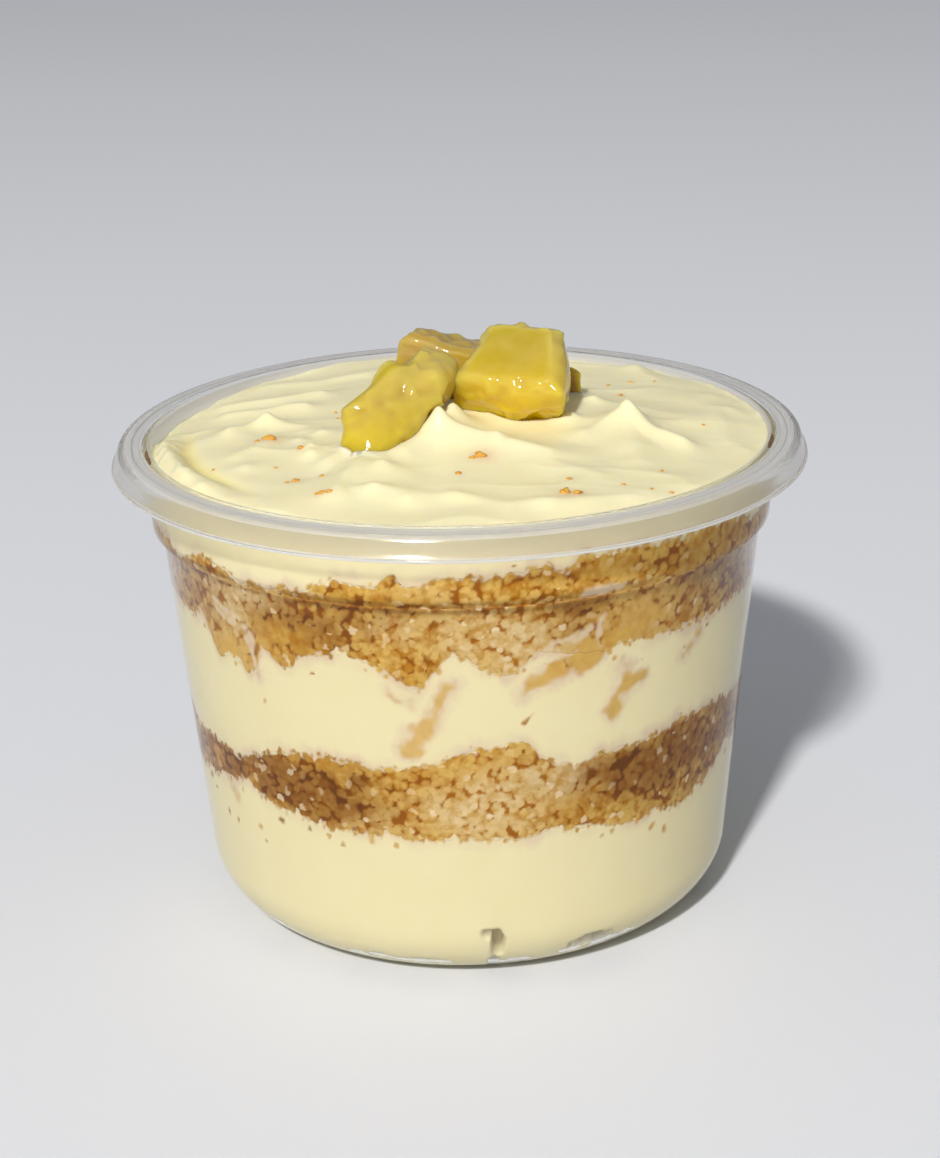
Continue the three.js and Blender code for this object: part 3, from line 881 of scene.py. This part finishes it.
def chunk_piece(chunk, seed):
    """A chunk's skin. Broad noise lets the cut faces swell and sag, finer noise tears their
    edges, and noise drawn out along the chunk gives fibres, which stand out on a stringy one.
    Kept on the points: how high each is, how near a torn edge, how stringy and how amber."""
    directions = ball(CHUNK_ROWS, CHUNK_COLUMNS)
    reach, edge = chunk.reach(directions)
    places = chunk.middle + directions * reach[..., None]
    along = (places - chunk.middle) @ chunk.length
    across = places - 0.85 * along[..., None] * chunk.length
    fibre = rough(across, 0.8, seed, 2)
    torn = ease(0.89, 1.0, edge)
    change = 0.20 * noise(places, 5.0, seed + 5) + 0.06 * noise(places, 2.2, seed + 6)
    change += torn * 0.4 * noise(places, 3.6, seed + 7)
    change += torn**2 * 0.5 * noise(places, 1.5, seed + 8)
    stringy = (chunk.node == STRINGY) * ease(0.2, 0.6, directions[..., 2])
    change += (0.02 + 0.12 * stringy) * fibre
    grid = chunk.middle + directions * (reach + change)[..., None]
    low, high = grid[..., 2].min(), grid[..., 2].max()
    # The torn-edge mark feeds painted light on the upper edges of the fruit's colour.
    marks = {"rise": (grid[..., 2] - low) / (high - low), "thin": torn}
    marks["stringy"] = stringy * (0.5 + 0.5 * fibre)
    marks["amber"] = np.full(fibre.shape, AMBER.get(chunk.node, 0.0))
    marks = {label: values[1:-1] for label, values in marks.items()}
    ends = np.stack([grid[0, 0], grid[-1, 0]])
    piece = skin(chunk.node.replace("pineapple", "chunk"), grid[None, 1:-1], ends[None], marks)
    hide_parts(chunk.node)
    return piece


chunk_pieces = [chunk_piece(chunk, 3000 + 50 * k) for k, chunk in enumerate(chunks)]

# %% [markdown]
# ## Top cream
#
# The top is stirred with a spoon and left: a low dome with short ridges, small peaks and
# soft folds. The ridges of the CAD solid are repeated with a sharper crest, the way stiff
# cream stands, and finer folds are added. The chunks are pressed in, so the surface goes
# down under them.

# %% Ridges, peaks and crumbs on the top cream
# Places are across from left to right, then back from the front. A ridge has its two ends,
# height and width; a peak its place, height and width; a crumb its place and size.
TOP_COLUMNS = 600
TOP_RINGS = 118
DOME_MIDDLE = 69.4
DOME_SHAPE = 2.5
RIDGES = [
    ((23.5, -5), (30, -12.5), 1.3, 1.5),
    ((23, -5.5), (17, -9), 0.9, 1.8),
    ((24, -7), (24, -19), 0.6, 1.7),
    ((-2.4, -11.6), (5, -12.8), 2.0, 2.2),
    ((5, -12.8), (12, -17), 1.2, 2.6),
    ((8, -14), (18, -25), 0.6, 2.4),
    ((-2.8, -11.6), (-7.5, -17), 0.9, 1.5),
    ((-12, -12), (-18, -18), 0.8, 1.8),
    ((-13, -19), (-15, -29), 1.1, 2.0),
    ((-13, -29), (-2, -32), 0.8, 1.5),
    ((-2, -32), (7, -36.5), 0.9, 1.6),
    ((7, -36.5), (22, -33), 0.9, 1.7),
    ((-30, -13), (-26, -6), 0.6, 1.6),
    ((-27, 2), (-32, -1), 0.8, 1.3),
    ((-27, 2), (-21, 0), 0.6, 1.3),
    ((-33, 12), (-22, 10), 0.9, 1.2),
    ((-34, 18), (-20, 17), 0.8, 1.3),
    ((-30, 26), (-14, 28), 0.7, 1.4),
    ((17, 33), (29, 28), 0.8, 2.0),
    ((36, 6), (37, -10), 0.5, 1.6),
]
PEAKS = [
    (23.2, -4.8, 2.2, 2.6), (-2.8, -10.8, 2.3, 1.5), (-0.7, -6.8, 3.6, 2.2), (-26.8, 2.1, 1.5, 1.4),
    (-20.1, -12.7, 1.0, 1.0), (-10.1, -21.9, 1.0, 1.2), (-11.1, -29.7, 0.6, 0.9), (-6.8, -32.6, 0.5, 0.8),
    (-16.4, -31.0, 0.6, 1.0), (19.2, 4.8, 0.9, 1.0), (15.6, -4.0, 1.0, 1.0), (27.2, 29.1, 1.2, 1.5),
    (38.7, -11.6, 0.5, 1.0), (38.7, 5.8, 0.6, 1.1), (36.8, 13.2, 0.6, 1.2), (11.5, -36.0, 0.4, 0.9),
    (-20.0, -15.0, 0.8, 0.8), (-19.1, -4.5, 0.6, 0.9), (-22.0, -7.5, 0.5, 0.8), (-28.6, -17.5, 0.7, 1.4),
]
CRUMBS = [
    (-26, -6.9, 1.0), (-27.6, -7.6, 0.5), (-21.4, -13, 0.6), (2.7, -17.8, 1.1), (1.6, -18.4, 0.6),
    (13.3, -32, 0.9), (14.8, -32.2, 0.8), (-18, -30.4, 0.7), (-16.8, -30.9, 0.5), (-0.3, -23.7, 0.5),
    (26.4, -23.3, 0.45), (23.4, 11, 0.5), (-21.5, -23.7, 0.7), (25.5, 19.6, 0.4), (-22.6, -24.1, 0.4),
    (-18.1, -22.9, 0.45), (-24.5, -18.0, 0.35), (-17.0, 2.5, 0.35), (-17.5, 6.0, 0.35),
    (14.1, -27.0, 0.45), (21.0, -28.6, 0.35), (24.5, -30.2, 0.3), (27.0, -30.8, 0.35),
    (22.0, 17.0, 0.35), (29.0, 20.0, 0.3), (34.0, -3.0, 0.3), (-33.0, -16.0, 0.3),
]
CREST = 0.8
CLIMB, CLIMB_WIDTH = 0.7, 1.3
PRESS_STEPS, PRESS_STEP = 60, 0.2
MOUND_LINE, MOUND_HEIGHT, MOUND_WIDTH = [(4, 5), (11, 5)], 1.7, 5.5
BANK_ANGLE, BANK_WIDTH, BANK_HEIGHT = -71, 18, 1.2
BANK_PLACE, BANK_REACH = 0.945, 0.03  # shares of the wall's radius
CREASE_PLACE, CREASE_REACH, CREASE_DEPTH = 0.875, 0.018, 0.7

# %% Height of the top cream


def stiff(away, width):
    """Side of a peak of stiff cream: e^(-distance / width), with its tip rounded off."""
    return np.exp(-(np.hypot(away, CREST) - CREST) / width)


def crest(places, size, seed):
    """1 on the lines where slow noise crosses zero, falling to either side."""
    return 1 - abs(noise(places, size, seed))


def bank_share(angle):
    """1 at the middle of the bank at the left wall, falling to 0 at its ends."""
    return np.exp(-0.5 * ((angle - BANK_ANGLE) / BANK_WIDTH) ** 4)


def bank_and_crease(flat, share):
    """A lumpy bank close to the left wall, and the crease on its inner side."""
    side = bank_share(np.degrees(angle_of(flat)))
    lumpy = 0.7 + 0.6 * crest(flat, 3.2, 49) ** 2
    bank = bell(share - BANK_PLACE, BANK_REACH) * lumpy
    return side * BANK_HEIGHT * bank, side * bell(share - CREASE_PLACE, CREASE_REACH)


def swells_and_folds(flat, bend, share):
    """Slow swells, and folds on the crests of noise, (1 - |noise|)^2.5. The crests are drawn
    out from left to right, and the folds are higher near the wall."""
    swells = 0.30 * noise(flat + 2 * bend, 11.0, 43) + 0.14 * noise(flat + 2 * bend, 5.5, 44)
    long = (flat + 1.5 * bend) * (0.45, 1, 1)
    crests = crest(long, 8.5, 45) ** 2.5 + 0.12 * crest(long, 4.2, 46) ** 2
    strong = ease(0.35, 0.9, share) * (0.55 + 0.45 * noise(flat, 9.0, 50))
    return swells, (0.15 + 0.55 * strong) * (crests - 0.35)


def cream_height(places, edge, wall):
    """The surface over places on the plan, and how much of a crease it is.

    A dome, edge + (middle - edge) (1 - share^2.5), with swells and folds, ridges and peaks
    that fade at the wall, the mound under the chunks, and the bank with its crease.
    """
    share = (np.linalg.norm(places, axis=-1) / wall).clip(0, 1)
    flat = np.concatenate([places, np.zeros_like(places[..., :1])], axis=-1)
    bend = np.stack([noise(flat, 7.0, 41), noise(flat, 7.0, 42), 0 * share], axis=-1)
    swells, folds = swells_and_folds(flat, bend, share)
    height = DOME_MIDDLE + (edge - DOME_MIDDLE) * share**DOME_SHAPE + swells + folds - 0.1
    fade = 1 - share**8
    bent = places + 0.9 * bend[..., :2]
    ridges = np.zeros(share.shape)
    for start, end, rise, width in RIDGES:
        ridges = np.maximum(ridges, rise * stiff(from_line(bent, [start, end]), width))
    height = height + fade * (1 + 0.35 * noise(flat, 3.5, 48)) * ridges
    for across, back, rise, width in PEAKS:
        away = np.hypot(places[..., 0] - across, places[..., 1] - back)
        height = height + fade * rise * stiff(away, width)
    height = height + MOUND_HEIGHT * bell(from_line(places, MOUND_LINE), MOUND_WIDTH)
    bank, crease = bank_and_crease(flat, share)
    return height + bank - CREASE_DEPTH * crease, crease


skip = COLUMNS // TOP_COLUMNS
cream_edge = wall_line("cream_top", True)[::skip]
print("cream meets the wall from", cream_edge.min().round(1), "to", cream_edge.max().round(1), "mm")

# %% Top cream as a skin
CALM = 14  # columns to each side over which the edge is levelled for the surface inside it
low_line = upper_top[0][::skip]
edge = cream_edge + 0.25 * rough(ring[::skip], 5.0, 61) + 0.9 * bank_share(front[::skip])
band = wall_band(low_line, edge, 40)
marks, depth = wall_marks(band, skip)
bottom = hidden_face(low_line, upper_top[1], pot_radius(low_line, CONTACT), HIDDEN_GAP)
wall = pot_radius(edge, CONTACT)
share = 1 - np.linspace(0, 1, TOP_RINGS + 1)[1:-1, None]
plan = round_the_pot(share * wall, 0.0, TOP_COLUMNS)[..., :2]
calm_edge = np.mean([np.roll(edge, shift) for shift in range(-CALM, CALM + 1)], axis=0)
height, crease = cream_height(plan, calm_edge, wall)
height = edge + (height - edge) * ease(0, 0.05, 1 - share)
surface = np.concatenate([plan, height[..., None]], axis=-1)
for chunk in chunks:
    near = np.linalg.norm(surface - chunk.middle, axis=-1) < chunk.radius * 1.3
    pressed = surface[near]
    pressed[:, 2] += CLIMB * np.exp(-chunk.gap(pressed).clip(0) / CLIMB_WIDTH)
    for _ in range(PRESS_STEPS):
        pressed[:, 2] -= PRESS_STEP * chunk.inside(pressed)
    surface[near] = pressed
grid = np.concatenate([bottom, sink(band, depth), surface])
marks = padded(marks, HIDDEN, len(surface))
stain = np.zeros(height.shape)
for across, back, size in CRUMBS:
    away = np.hypot(surface[..., 0] - across - 0.4 * size, surface[..., 1] - back)
    stain = np.maximum(stain, min(1, size) * bell(away, 1.2 * size))
for label, values in {"crease": crease, "stain": stain}.items():
    marks[label] = np.concatenate([np.zeros((HIDDEN + len(band), TOP_COLUMNS)), values])
ends = np.array([[0, 0, upper_top[1] + HIDDEN_GAP], [0, 0, surface[-1, :, 2].mean()]])
filling_top = skin("filling_top", grid[None], ends[None], marks, (HIDDEN, 0))
rows_below = HIDDEN + len(band) - 1
finish_of = np.repeat([0, 1, 0, 1], np.array([rows_below, len(surface), 1, 1]) * TOP_COLUMNS)
filling_top.data.polygons.foreach_set("material_index", finish_of.astype(np.int32))
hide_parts("cream_top")

# %% [markdown]
# ## Loose crumbs
#
# A few crumbs lie on the cream. Each is a small closed lump with noise on it, and all of
# them are joined in one mesh, which is lighter than an object for each.

# %% Lumps


def lumps(name, centres, sizes, seed, rows=9, columns=14):
    """Small closed lumps: spheres stretched to their sizes, each made uneven by noise."""
    directions = ball(rows, columns)
    swell = 1 + 0.55 * rough(centres[:, None, None, :] * 3.7 + directions, 0.9, seed, 2)
    points = centres[:, None, None, :] + directions * sizes[:, None, None, :] * swell[..., None]
    ends = np.stack([points[:, 0].mean(axis=1), points[:, -1].mean(axis=1)], axis=1)
    return skin(name, points[:, 1:-1], ends)


crumbs = np.array(CRUMBS)
plan = crumbs[:, :2]
crumb_angle = np.degrees(np.arctan2(plan[:, 0], -plan[:, 1])) % 360
crumb_edge = np.interp(crumb_angle, turn[::skip], calm_edge, period=360)
resting, _ = cream_height(plan, crumb_edge, pot_radius(crumb_edge, CONTACT))
centres = np.column_stack([plan, resting + 0.02 * crumbs[:, 2]])
sizes = crumbs[:, 2:] * np.array([[0.8, 0.7, 0.42]])
crumbs_on_top = lumps("crumbs_on_top", centres, sizes, 5000)

# %% [markdown]
# ## Finishes
#
# Shader sums are easier to read as Python than as a list of nodes. Number wraps a socket, and
# its operators add Math nodes; Finish holds one material and adds any other node by its type.

# %% A number on a surface


class Number:
    """A value that changes over a surface. Arithmetic on it adds Math nodes."""

    def __init__(self, finish, socket):
        self.finish = finish
        self.socket = socket

    def __add__(self, other):
        return self.finish.math("ADD", self, other)

    def __sub__(self, other):
        return self.finish.math("SUBTRACT", self, other)

    def __rsub__(self, other):
        return self.finish.math("SUBTRACT", other, self)

    def __mul__(self, other):
        return self.finish.math("MULTIPLY", self, other)

    def held(self):
        """The value held between 0 and 1."""
        return self.finish.math("MINIMUM", self.finish.math("MAXIMUM", self, 0.0), 1.0)

    __radd__ = __add__
    __rmul__ = __mul__


# %% A material


class Finish:
    """A material, and the ways to add nodes to it."""

    def __init__(self, name):
        self.material = bpy.data.materials.new(name)
        self.material.use_nodes = True
        self.nodes = self.material.node_tree.nodes
        self.links = self.material.node_tree.links
        self.nodes.clear()

    def node(self, kind, settings=None, **inputs):
        """A node of a kind. settings are set first; each input is a value or a link, named
        by its socket's identifier with _ for a space."""
        node = self.nodes.new("ShaderNode" + kind)
        for key, value in (settings or {}).items():
            setattr(node, key, value)
        for key, value in inputs.items():
            socket = next(s for s in node.inputs if s.identifier.replace(" ", "_") == key)
            value = getattr(value, "socket", value)
            if isinstance(value, bpy.types.NodeSocket):
                self.links.new(value, socket)
            else:
                socket.default_value = value
        return node

    def math(self, operation, first, second):
        """A Math node on two numbers, either of which may change over the surface."""
        node = self.node("Math", {"operation": operation}, Value=first, Value_001=second)
        return Number(self, node.outputs[0])

    def mark(self, label):
        """A number kept on the mesh's points."""
        node = self.node("Attribute", {"attribute_name": label})
        return Number(self, node.outputs["Fac"])

    def noise(self, size, detail=2.0):
        """Noise in the object's own space, from 0 to 1; size is in millimetres."""
        place = self.node("TexCoord").outputs["Object"]
        scaled = self.node("Mapping", {}, Vector=place, Scale=[1 / (size * MM)] * 3)
        node = self.node("TexNoise", {}, Vector=scaled.outputs[0], Scale=1.0, Detail=detail)
        return Number(self, node.outputs[0])

    def mix(self, factor, first, second):
        """A colour between two colours."""
        node = self.node("Mix", {"data_type": "RGBA"},
                         Factor_Float=factor, A_Color=first, B_Color=second)
        return next(s for s in node.outputs if s.identifier == "Result_Color")

    def tint(self, colour, number):
        """A colour times a number."""
        node = self.node("VectorMath", {"operation": "SCALE"}, Vector=colour, Scale=number)
        return node.outputs[0]

    def bump(self, height, distance, strength):
        """A shading normal from a height; distance is its range in millimetres."""
        node = self.node("Bump", {}, Height=height, Distance=distance * MM, Strength=strength)
        return node.outputs[0]

    def surface(self, **inputs):
        """A Principled shader; returns its output."""
        return self.node("BsdfPrincipled", {}, **inputs).outputs[0]

    def out(self, shader):
        """Ends the material with a shader."""
        self.node("OutputMaterial", {}, Surface=shader)
        return self.material


def seen(red, green, blue):
    """A colour as the eye reads it, 0 to 255, made linear by the sRGB curve."""
    values = np.array([red, green, blue]) / 255
    linear = np.where(values < 0.04045, values / 12.92, ((values + 0.055) / 1.055) ** 2.4)
    return (*linear.tolist(), 1.0)


# %% [markdown]
# Thin moulded plastic is clear, but its rim is thicker and a little hazy. A refracting shader
# alone would leave the food behind it in the dark, because a lamp's light doesn't pass
# straight through it. So a ray on its way to a lamp meets a Transparent shader, dimmed at
# each face, and every other ray the real one. The wall bends light less than plastic does, as
# the food wets it.

# %% Clear plastic


def clear_plastic(name, colour, transmission, roughness, passing, bend=1.49):
    """Clear plastic. Light for what lies behind it passes straight through, dimmed to a
    passing share at each face."""
    plastic = Finish(name)
    waves = plastic.noise(7.0, 1.0)
    clear = plastic.surface(
        Base_Color=colour,
        Roughness=roughness,
        IOR=bend,
        Transmission_Weight=transmission,
        Normal=plastic.bump(waves, 0.05, 0.5),
    )
    shadow = plastic.node("LightPath").outputs["Is Shadow Ray"]
    dimmed = plastic.node("BsdfTransparent", {}, Color=(passing, passing, passing, 1)).outputs[0]
    mixed = plastic.node("MixShader", {}, Fac=shadow, Shader=clear, Shader_001=dimmed)
    return plastic.out(mixed.outputs[0])


for plastic in [
    ("clear_wall", seen(250, 251, 252), 1.0, 0.03, 0.20, 1.3),
    ("hazy_rim", seen(228, 227, 226), 0.52, 0.30, 0.60),
    ("skirt", seen(242, 239, 233), 0.94, 0.12, 0.58),
    ("clear_step", seen(250, 251, 252), 1.0, 0.03, 0.62, 1.3),
]:
    pot.data.materials.append(clear_plastic(*plastic))
print("pot finishes:", [material.name for material in pot.data.materials])

# %% [markdown]
# Cream lets light in, red and yellow farthest, which makes its shadows soft and warm. It
# could be a plain pale colour, but then every fold would look like plaster. So half of it is
# Subsurface, over a tone that changes slowly, with painted shade, a deeper yellow, in the
# crease, and stains beside the crumbs.

# %% Cream
CREAM_LOW, CREAM_HIGH = seen(246, 234, 186), seen(250, 240, 199)
CREAM_GLOW = (1.0, 0.8, 0.35)
cream = Finish("pale_cream")
cream_colour = cream.mix(cream.noise(6.0, 3.0), CREAM_LOW, CREAM_HIGH)
# Painted shade: the crease by the left wall is a deeper, darker yellow.
cream_colour = cream.mix(cream.mark("crease") * 0.7, cream_colour, seen(238, 222, 130))
cream_colour = cream.mix(cream.mark("stain") * 0.7, cream_colour, seen(232, 196, 150))
cream_shader = cream.surface(
    Base_Color=cream_colour,
    Roughness=0.42,
    Subsurface_Weight=0.5,
    Subsurface_Radius=CREAM_GLOW,
    Subsurface_Scale=3.0 * MM,
    Normal=cream.bump(cream.noise(1.2, 3.0), 0.05, 0.6),
)
cream.out(cream_shader)

# %% [markdown]
# Food that wets plastic has no gloss of its own, because the light turns back at the
# plastic's outer face. So it has no specular part, and all its detail is colour, mixed by the
# marks kept on its points: grains and what lies between them, pores, soaked and smeared cake,
# the veil, and cream. Painted shade darkens the air pockets and, a little, all cream at the
# wall. Subsurface would draw a dark seam where two layers touch.

# %% Cake and cream pressed on plastic
food = Finish("crumb_and_cream")
pale, brown, soak = food.mark("pale"), food.mark("brown"), food.mark("soak")


def zoned(middle, pale_colour, brown_colour):
    """A colour that changes with the pale and the brown zones."""
    colour = food.mix(pale, middle, pale_colour)
    return food.mix(brown, colour, brown_colour)


grain = zoned(seen(218, 180, 92), seen(226, 202, 150), seen(162, 114, 46))
between = zoned(seen(178, 116, 0), seen(204, 160, 82), seen(136, 80, 8))
hole = zoned(seen(150, 84, 0), seen(172, 108, 6), seen(110, 60, 4))
blotches = food.noise(2.6, 3.0) * 2.2 + food.noise(1.0, 2.0) * 2.0 - 1.85
tone = food.mark("tone")
share = (food.mark("gap") * 0.5 + blotches - tone * 0.4).held()
colour = food.mix(share, grain, between)
colour = food.mix((tone * 8.0 - 6.8).held() * 0.6, colour, seen(240, 226, 194))
colour = food.mix((tone * -8.0 - 6.6).held() * 0.5, colour, between)
wet = (food.noise(1.6, 2.0) * 3.0 - 1.0).held()
wet = food.mix(wet, seen(186, 122, 2), seen(214, 174, 76))
wet = food.mix(pale * 0.8, wet, seen(220, 180, 88))
colour = food.mix(soak * 0.9, colour, wet)
colour = food.mix(food.mark("pore"), colour, hole)
colour = food.tint(colour, food.noise(0.9, 3.0) * 0.24 + 0.88)
smooth = food.mix(food.noise(6.0, 3.0), CREAM_LOW, CREAM_HIGH)
smooth = food.mix((food.mark("veil") * 0.9).held(), smooth, seen(232, 211, 182))
# Partly wet contact and partly painted shade: the cream at the wall is a darker copy of the top cream.
smooth = food.tint(smooth, 0.95)
# Painted shade: darker where the air pockets in the corner go deep.
smooth = food.mix(food.mark("hollow"), smooth, seen(168, 152, 116))
food_shader = food.surface(
    Base_Color=food.mix(food.mark("cake"), smooth, colour),
    Roughness=0.6,
    Specular_IOR_Level=0.0,
)
food.out(food_shader)
for piece in (filling_bottom, crumb_lower, filling_middle, crumb_upper, filling_top):
    piece.data.materials.append(food.material)
filling_top.data.materials.append(cream.material)

# %% [markdown]
# The loose crumbs and the fruit lie in the open, so they have gloss and bump. Wet pineapple
# lets light far in. Transmission would make it dark over pale cream, so Subsurface does it,
# and the rest of its glow is painted light: deep yellow low down, partly juice and partly
# painted glow, paler flesh higher up, and pale upper torn edges. The back and small chunks are amber.

# %% Crumbs on the cream
cake = Finish("loose_crumb")
cake_shader = cake.surface(
    Base_Color=cake.mix(cake.noise(0.7, 2.0), seen(196, 128, 14), seen(232, 184, 80)),
    Roughness=0.5,
    Normal=cake.bump(cake.noise(0.35, 2.0), 0.05, 0.5),
)
cake.out(cake_shader)
crumbs_on_top.data.materials.append(cake.material)

# %% Pineapple flesh
fruit = Finish("wet_pineapple")
# Painted light: the flesh is paler the higher it lies and deep yellow low down, partly juice and partly a
# painted glow of light through it. The pale patches and pale torn edges are painted light on the upper part
# only.
high = (fruit.mark("rise") * 1.5 - 0.3).held()
colour = fruit.mix(high, seen(218, 186, 0), seen(182, 160, 46))
colour = fruit.mix(fruit.mark("thin") * high * 0.6, colour, seen(208, 186, 104))
colour = fruit.mix((fruit.noise(3.2, 2.0) * 2.0 - 0.8).held() * high * 0.7, colour, seen(206, 182, 96))
colour = fruit.mix((fruit.mark("stringy") * 0.6).held(), colour, seen(220, 202, 150))
colour = fruit.mix(fruit.mark("amber"), colour, seen(150, 108, 30))
fruit_shader = fruit.surface(
    Base_Color=colour,
    Roughness=0.12,
    Specular_IOR_Level=0.45,
    Subsurface_Weight=1.0,
    Subsurface_Radius=(1.0, 0.85, 0.22),
    Subsurface_Scale=8.0 * MM,
    Normal=fruit.bump(fruit.noise(0.9, 2.0), 0.07, 0.7),
)
fruit.out(fruit_shader)
for piece in chunk_pieces:
    piece.data.materials.append(fruit.material)

# %% Everything rides on the one body
for piece in (pot, filling_bottom, crumb_lower, filling_middle, crumb_upper, filling_top,
              crumbs_on_top, *chunk_pieces):
    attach(piece, "root")

# %% [markdown]
# ## Floor, light and camera
#
# A pale floor, one soft lamp high on the left for clear but soft-edged shadows, and an even
# pale surround that fills them. The camera looks down a little, from straight in front.

# %% Floor
FLOOR_SIZE = 3.0
floor_mesh = bpy.data.meshes.new("floor")
half_floor = FLOOR_SIZE / 2
floor_mesh.from_pydata([(-half_floor, -half_floor, 0), (half_floor, -half_floor, 0),
                        (half_floor, half_floor, 0), (-half_floor, half_floor, 0)],
                       [], [(0, 1, 2, 3)])
floor = bpy.data.objects.new("floor", floor_mesh)
bpy.context.scene.collection.objects.link(floor)
floor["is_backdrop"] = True
paper = Finish("pale_floor")
paper.out(paper.surface(
    Base_Color=paper.mix(paper.noise(300.0, 2.0), seen(226, 228, 235), seen(231, 233, 239)),
    Roughness=0.8,
))
floor_mesh.materials.append(paper.material)

# %% Light
TARGET = Vector((0.001, 0.0, 0.0454))
KEY_FROM = Vector((-0.21, -0.75, 0.63)).normalized()
KEY_DISTANCE = 3.0
KEY_SIZE, KEY_ENERGY = 0.2, 90.0
FILL = 0.28
lamp_data = bpy.data.lights.new("key", "AREA")
lamp_data.shape = "DISK"
lamp_data.size = KEY_SIZE
lamp_data.energy = KEY_ENERGY
lamp_data.color = (1.0, 0.98, 0.94)
lamp = bpy.data.objects.new("key", lamp_data)
lamp.location = TARGET + KEY_FROM * KEY_DISTANCE
lamp.rotation_euler = KEY_FROM.to_track_quat("Z", "Y").to_euler()
lamp.visible_transmission = False
bpy.context.scene.collection.objects.link(lamp)

world = bpy.data.worlds.new("surround")
world.use_nodes = True
background = world.node_tree.nodes["Background"]
background.inputs["Color"].default_value = (0.93, 0.96, 1.0, 1)
background.inputs["Strength"].default_value = FILL
bpy.context.scene.world = world
bpy.context.scene.view_settings.view_transform = "Standard"

# %% Camera
CAMERA_PLACE = Vector((0.0, -0.323386, 0.162252))
CAMERA_ROLL = -1.495
camera_data = bpy.data.cameras.new("camera")
camera_data.lens = 74.6
camera_data.sensor_width = 36.0
camera_data.clip_start = 0.01
camera = bpy.data.objects.new("camera", camera_data)
camera.location = CAMERA_PLACE
looking = (TARGET - CAMERA_PLACE).to_track_quat("-Z", "Y").to_matrix()
roll = Matrix.Rotation(math.radians(CAMERA_ROLL), 3, "Z")
camera.rotation_euler = (looking @ roll).to_euler()
bpy.context.scene.collection.objects.link(camera)
bpy.context.scene.camera = camera
print("camera to target:", round((TARGET - CAMERA_PLACE).length / MM, 1), "mm")

# %% Measure and finish
sizes = {
    "cad": [list(corner) for corner in cad_box],
    "visual": [list(corner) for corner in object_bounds()],
}
print(sizes)
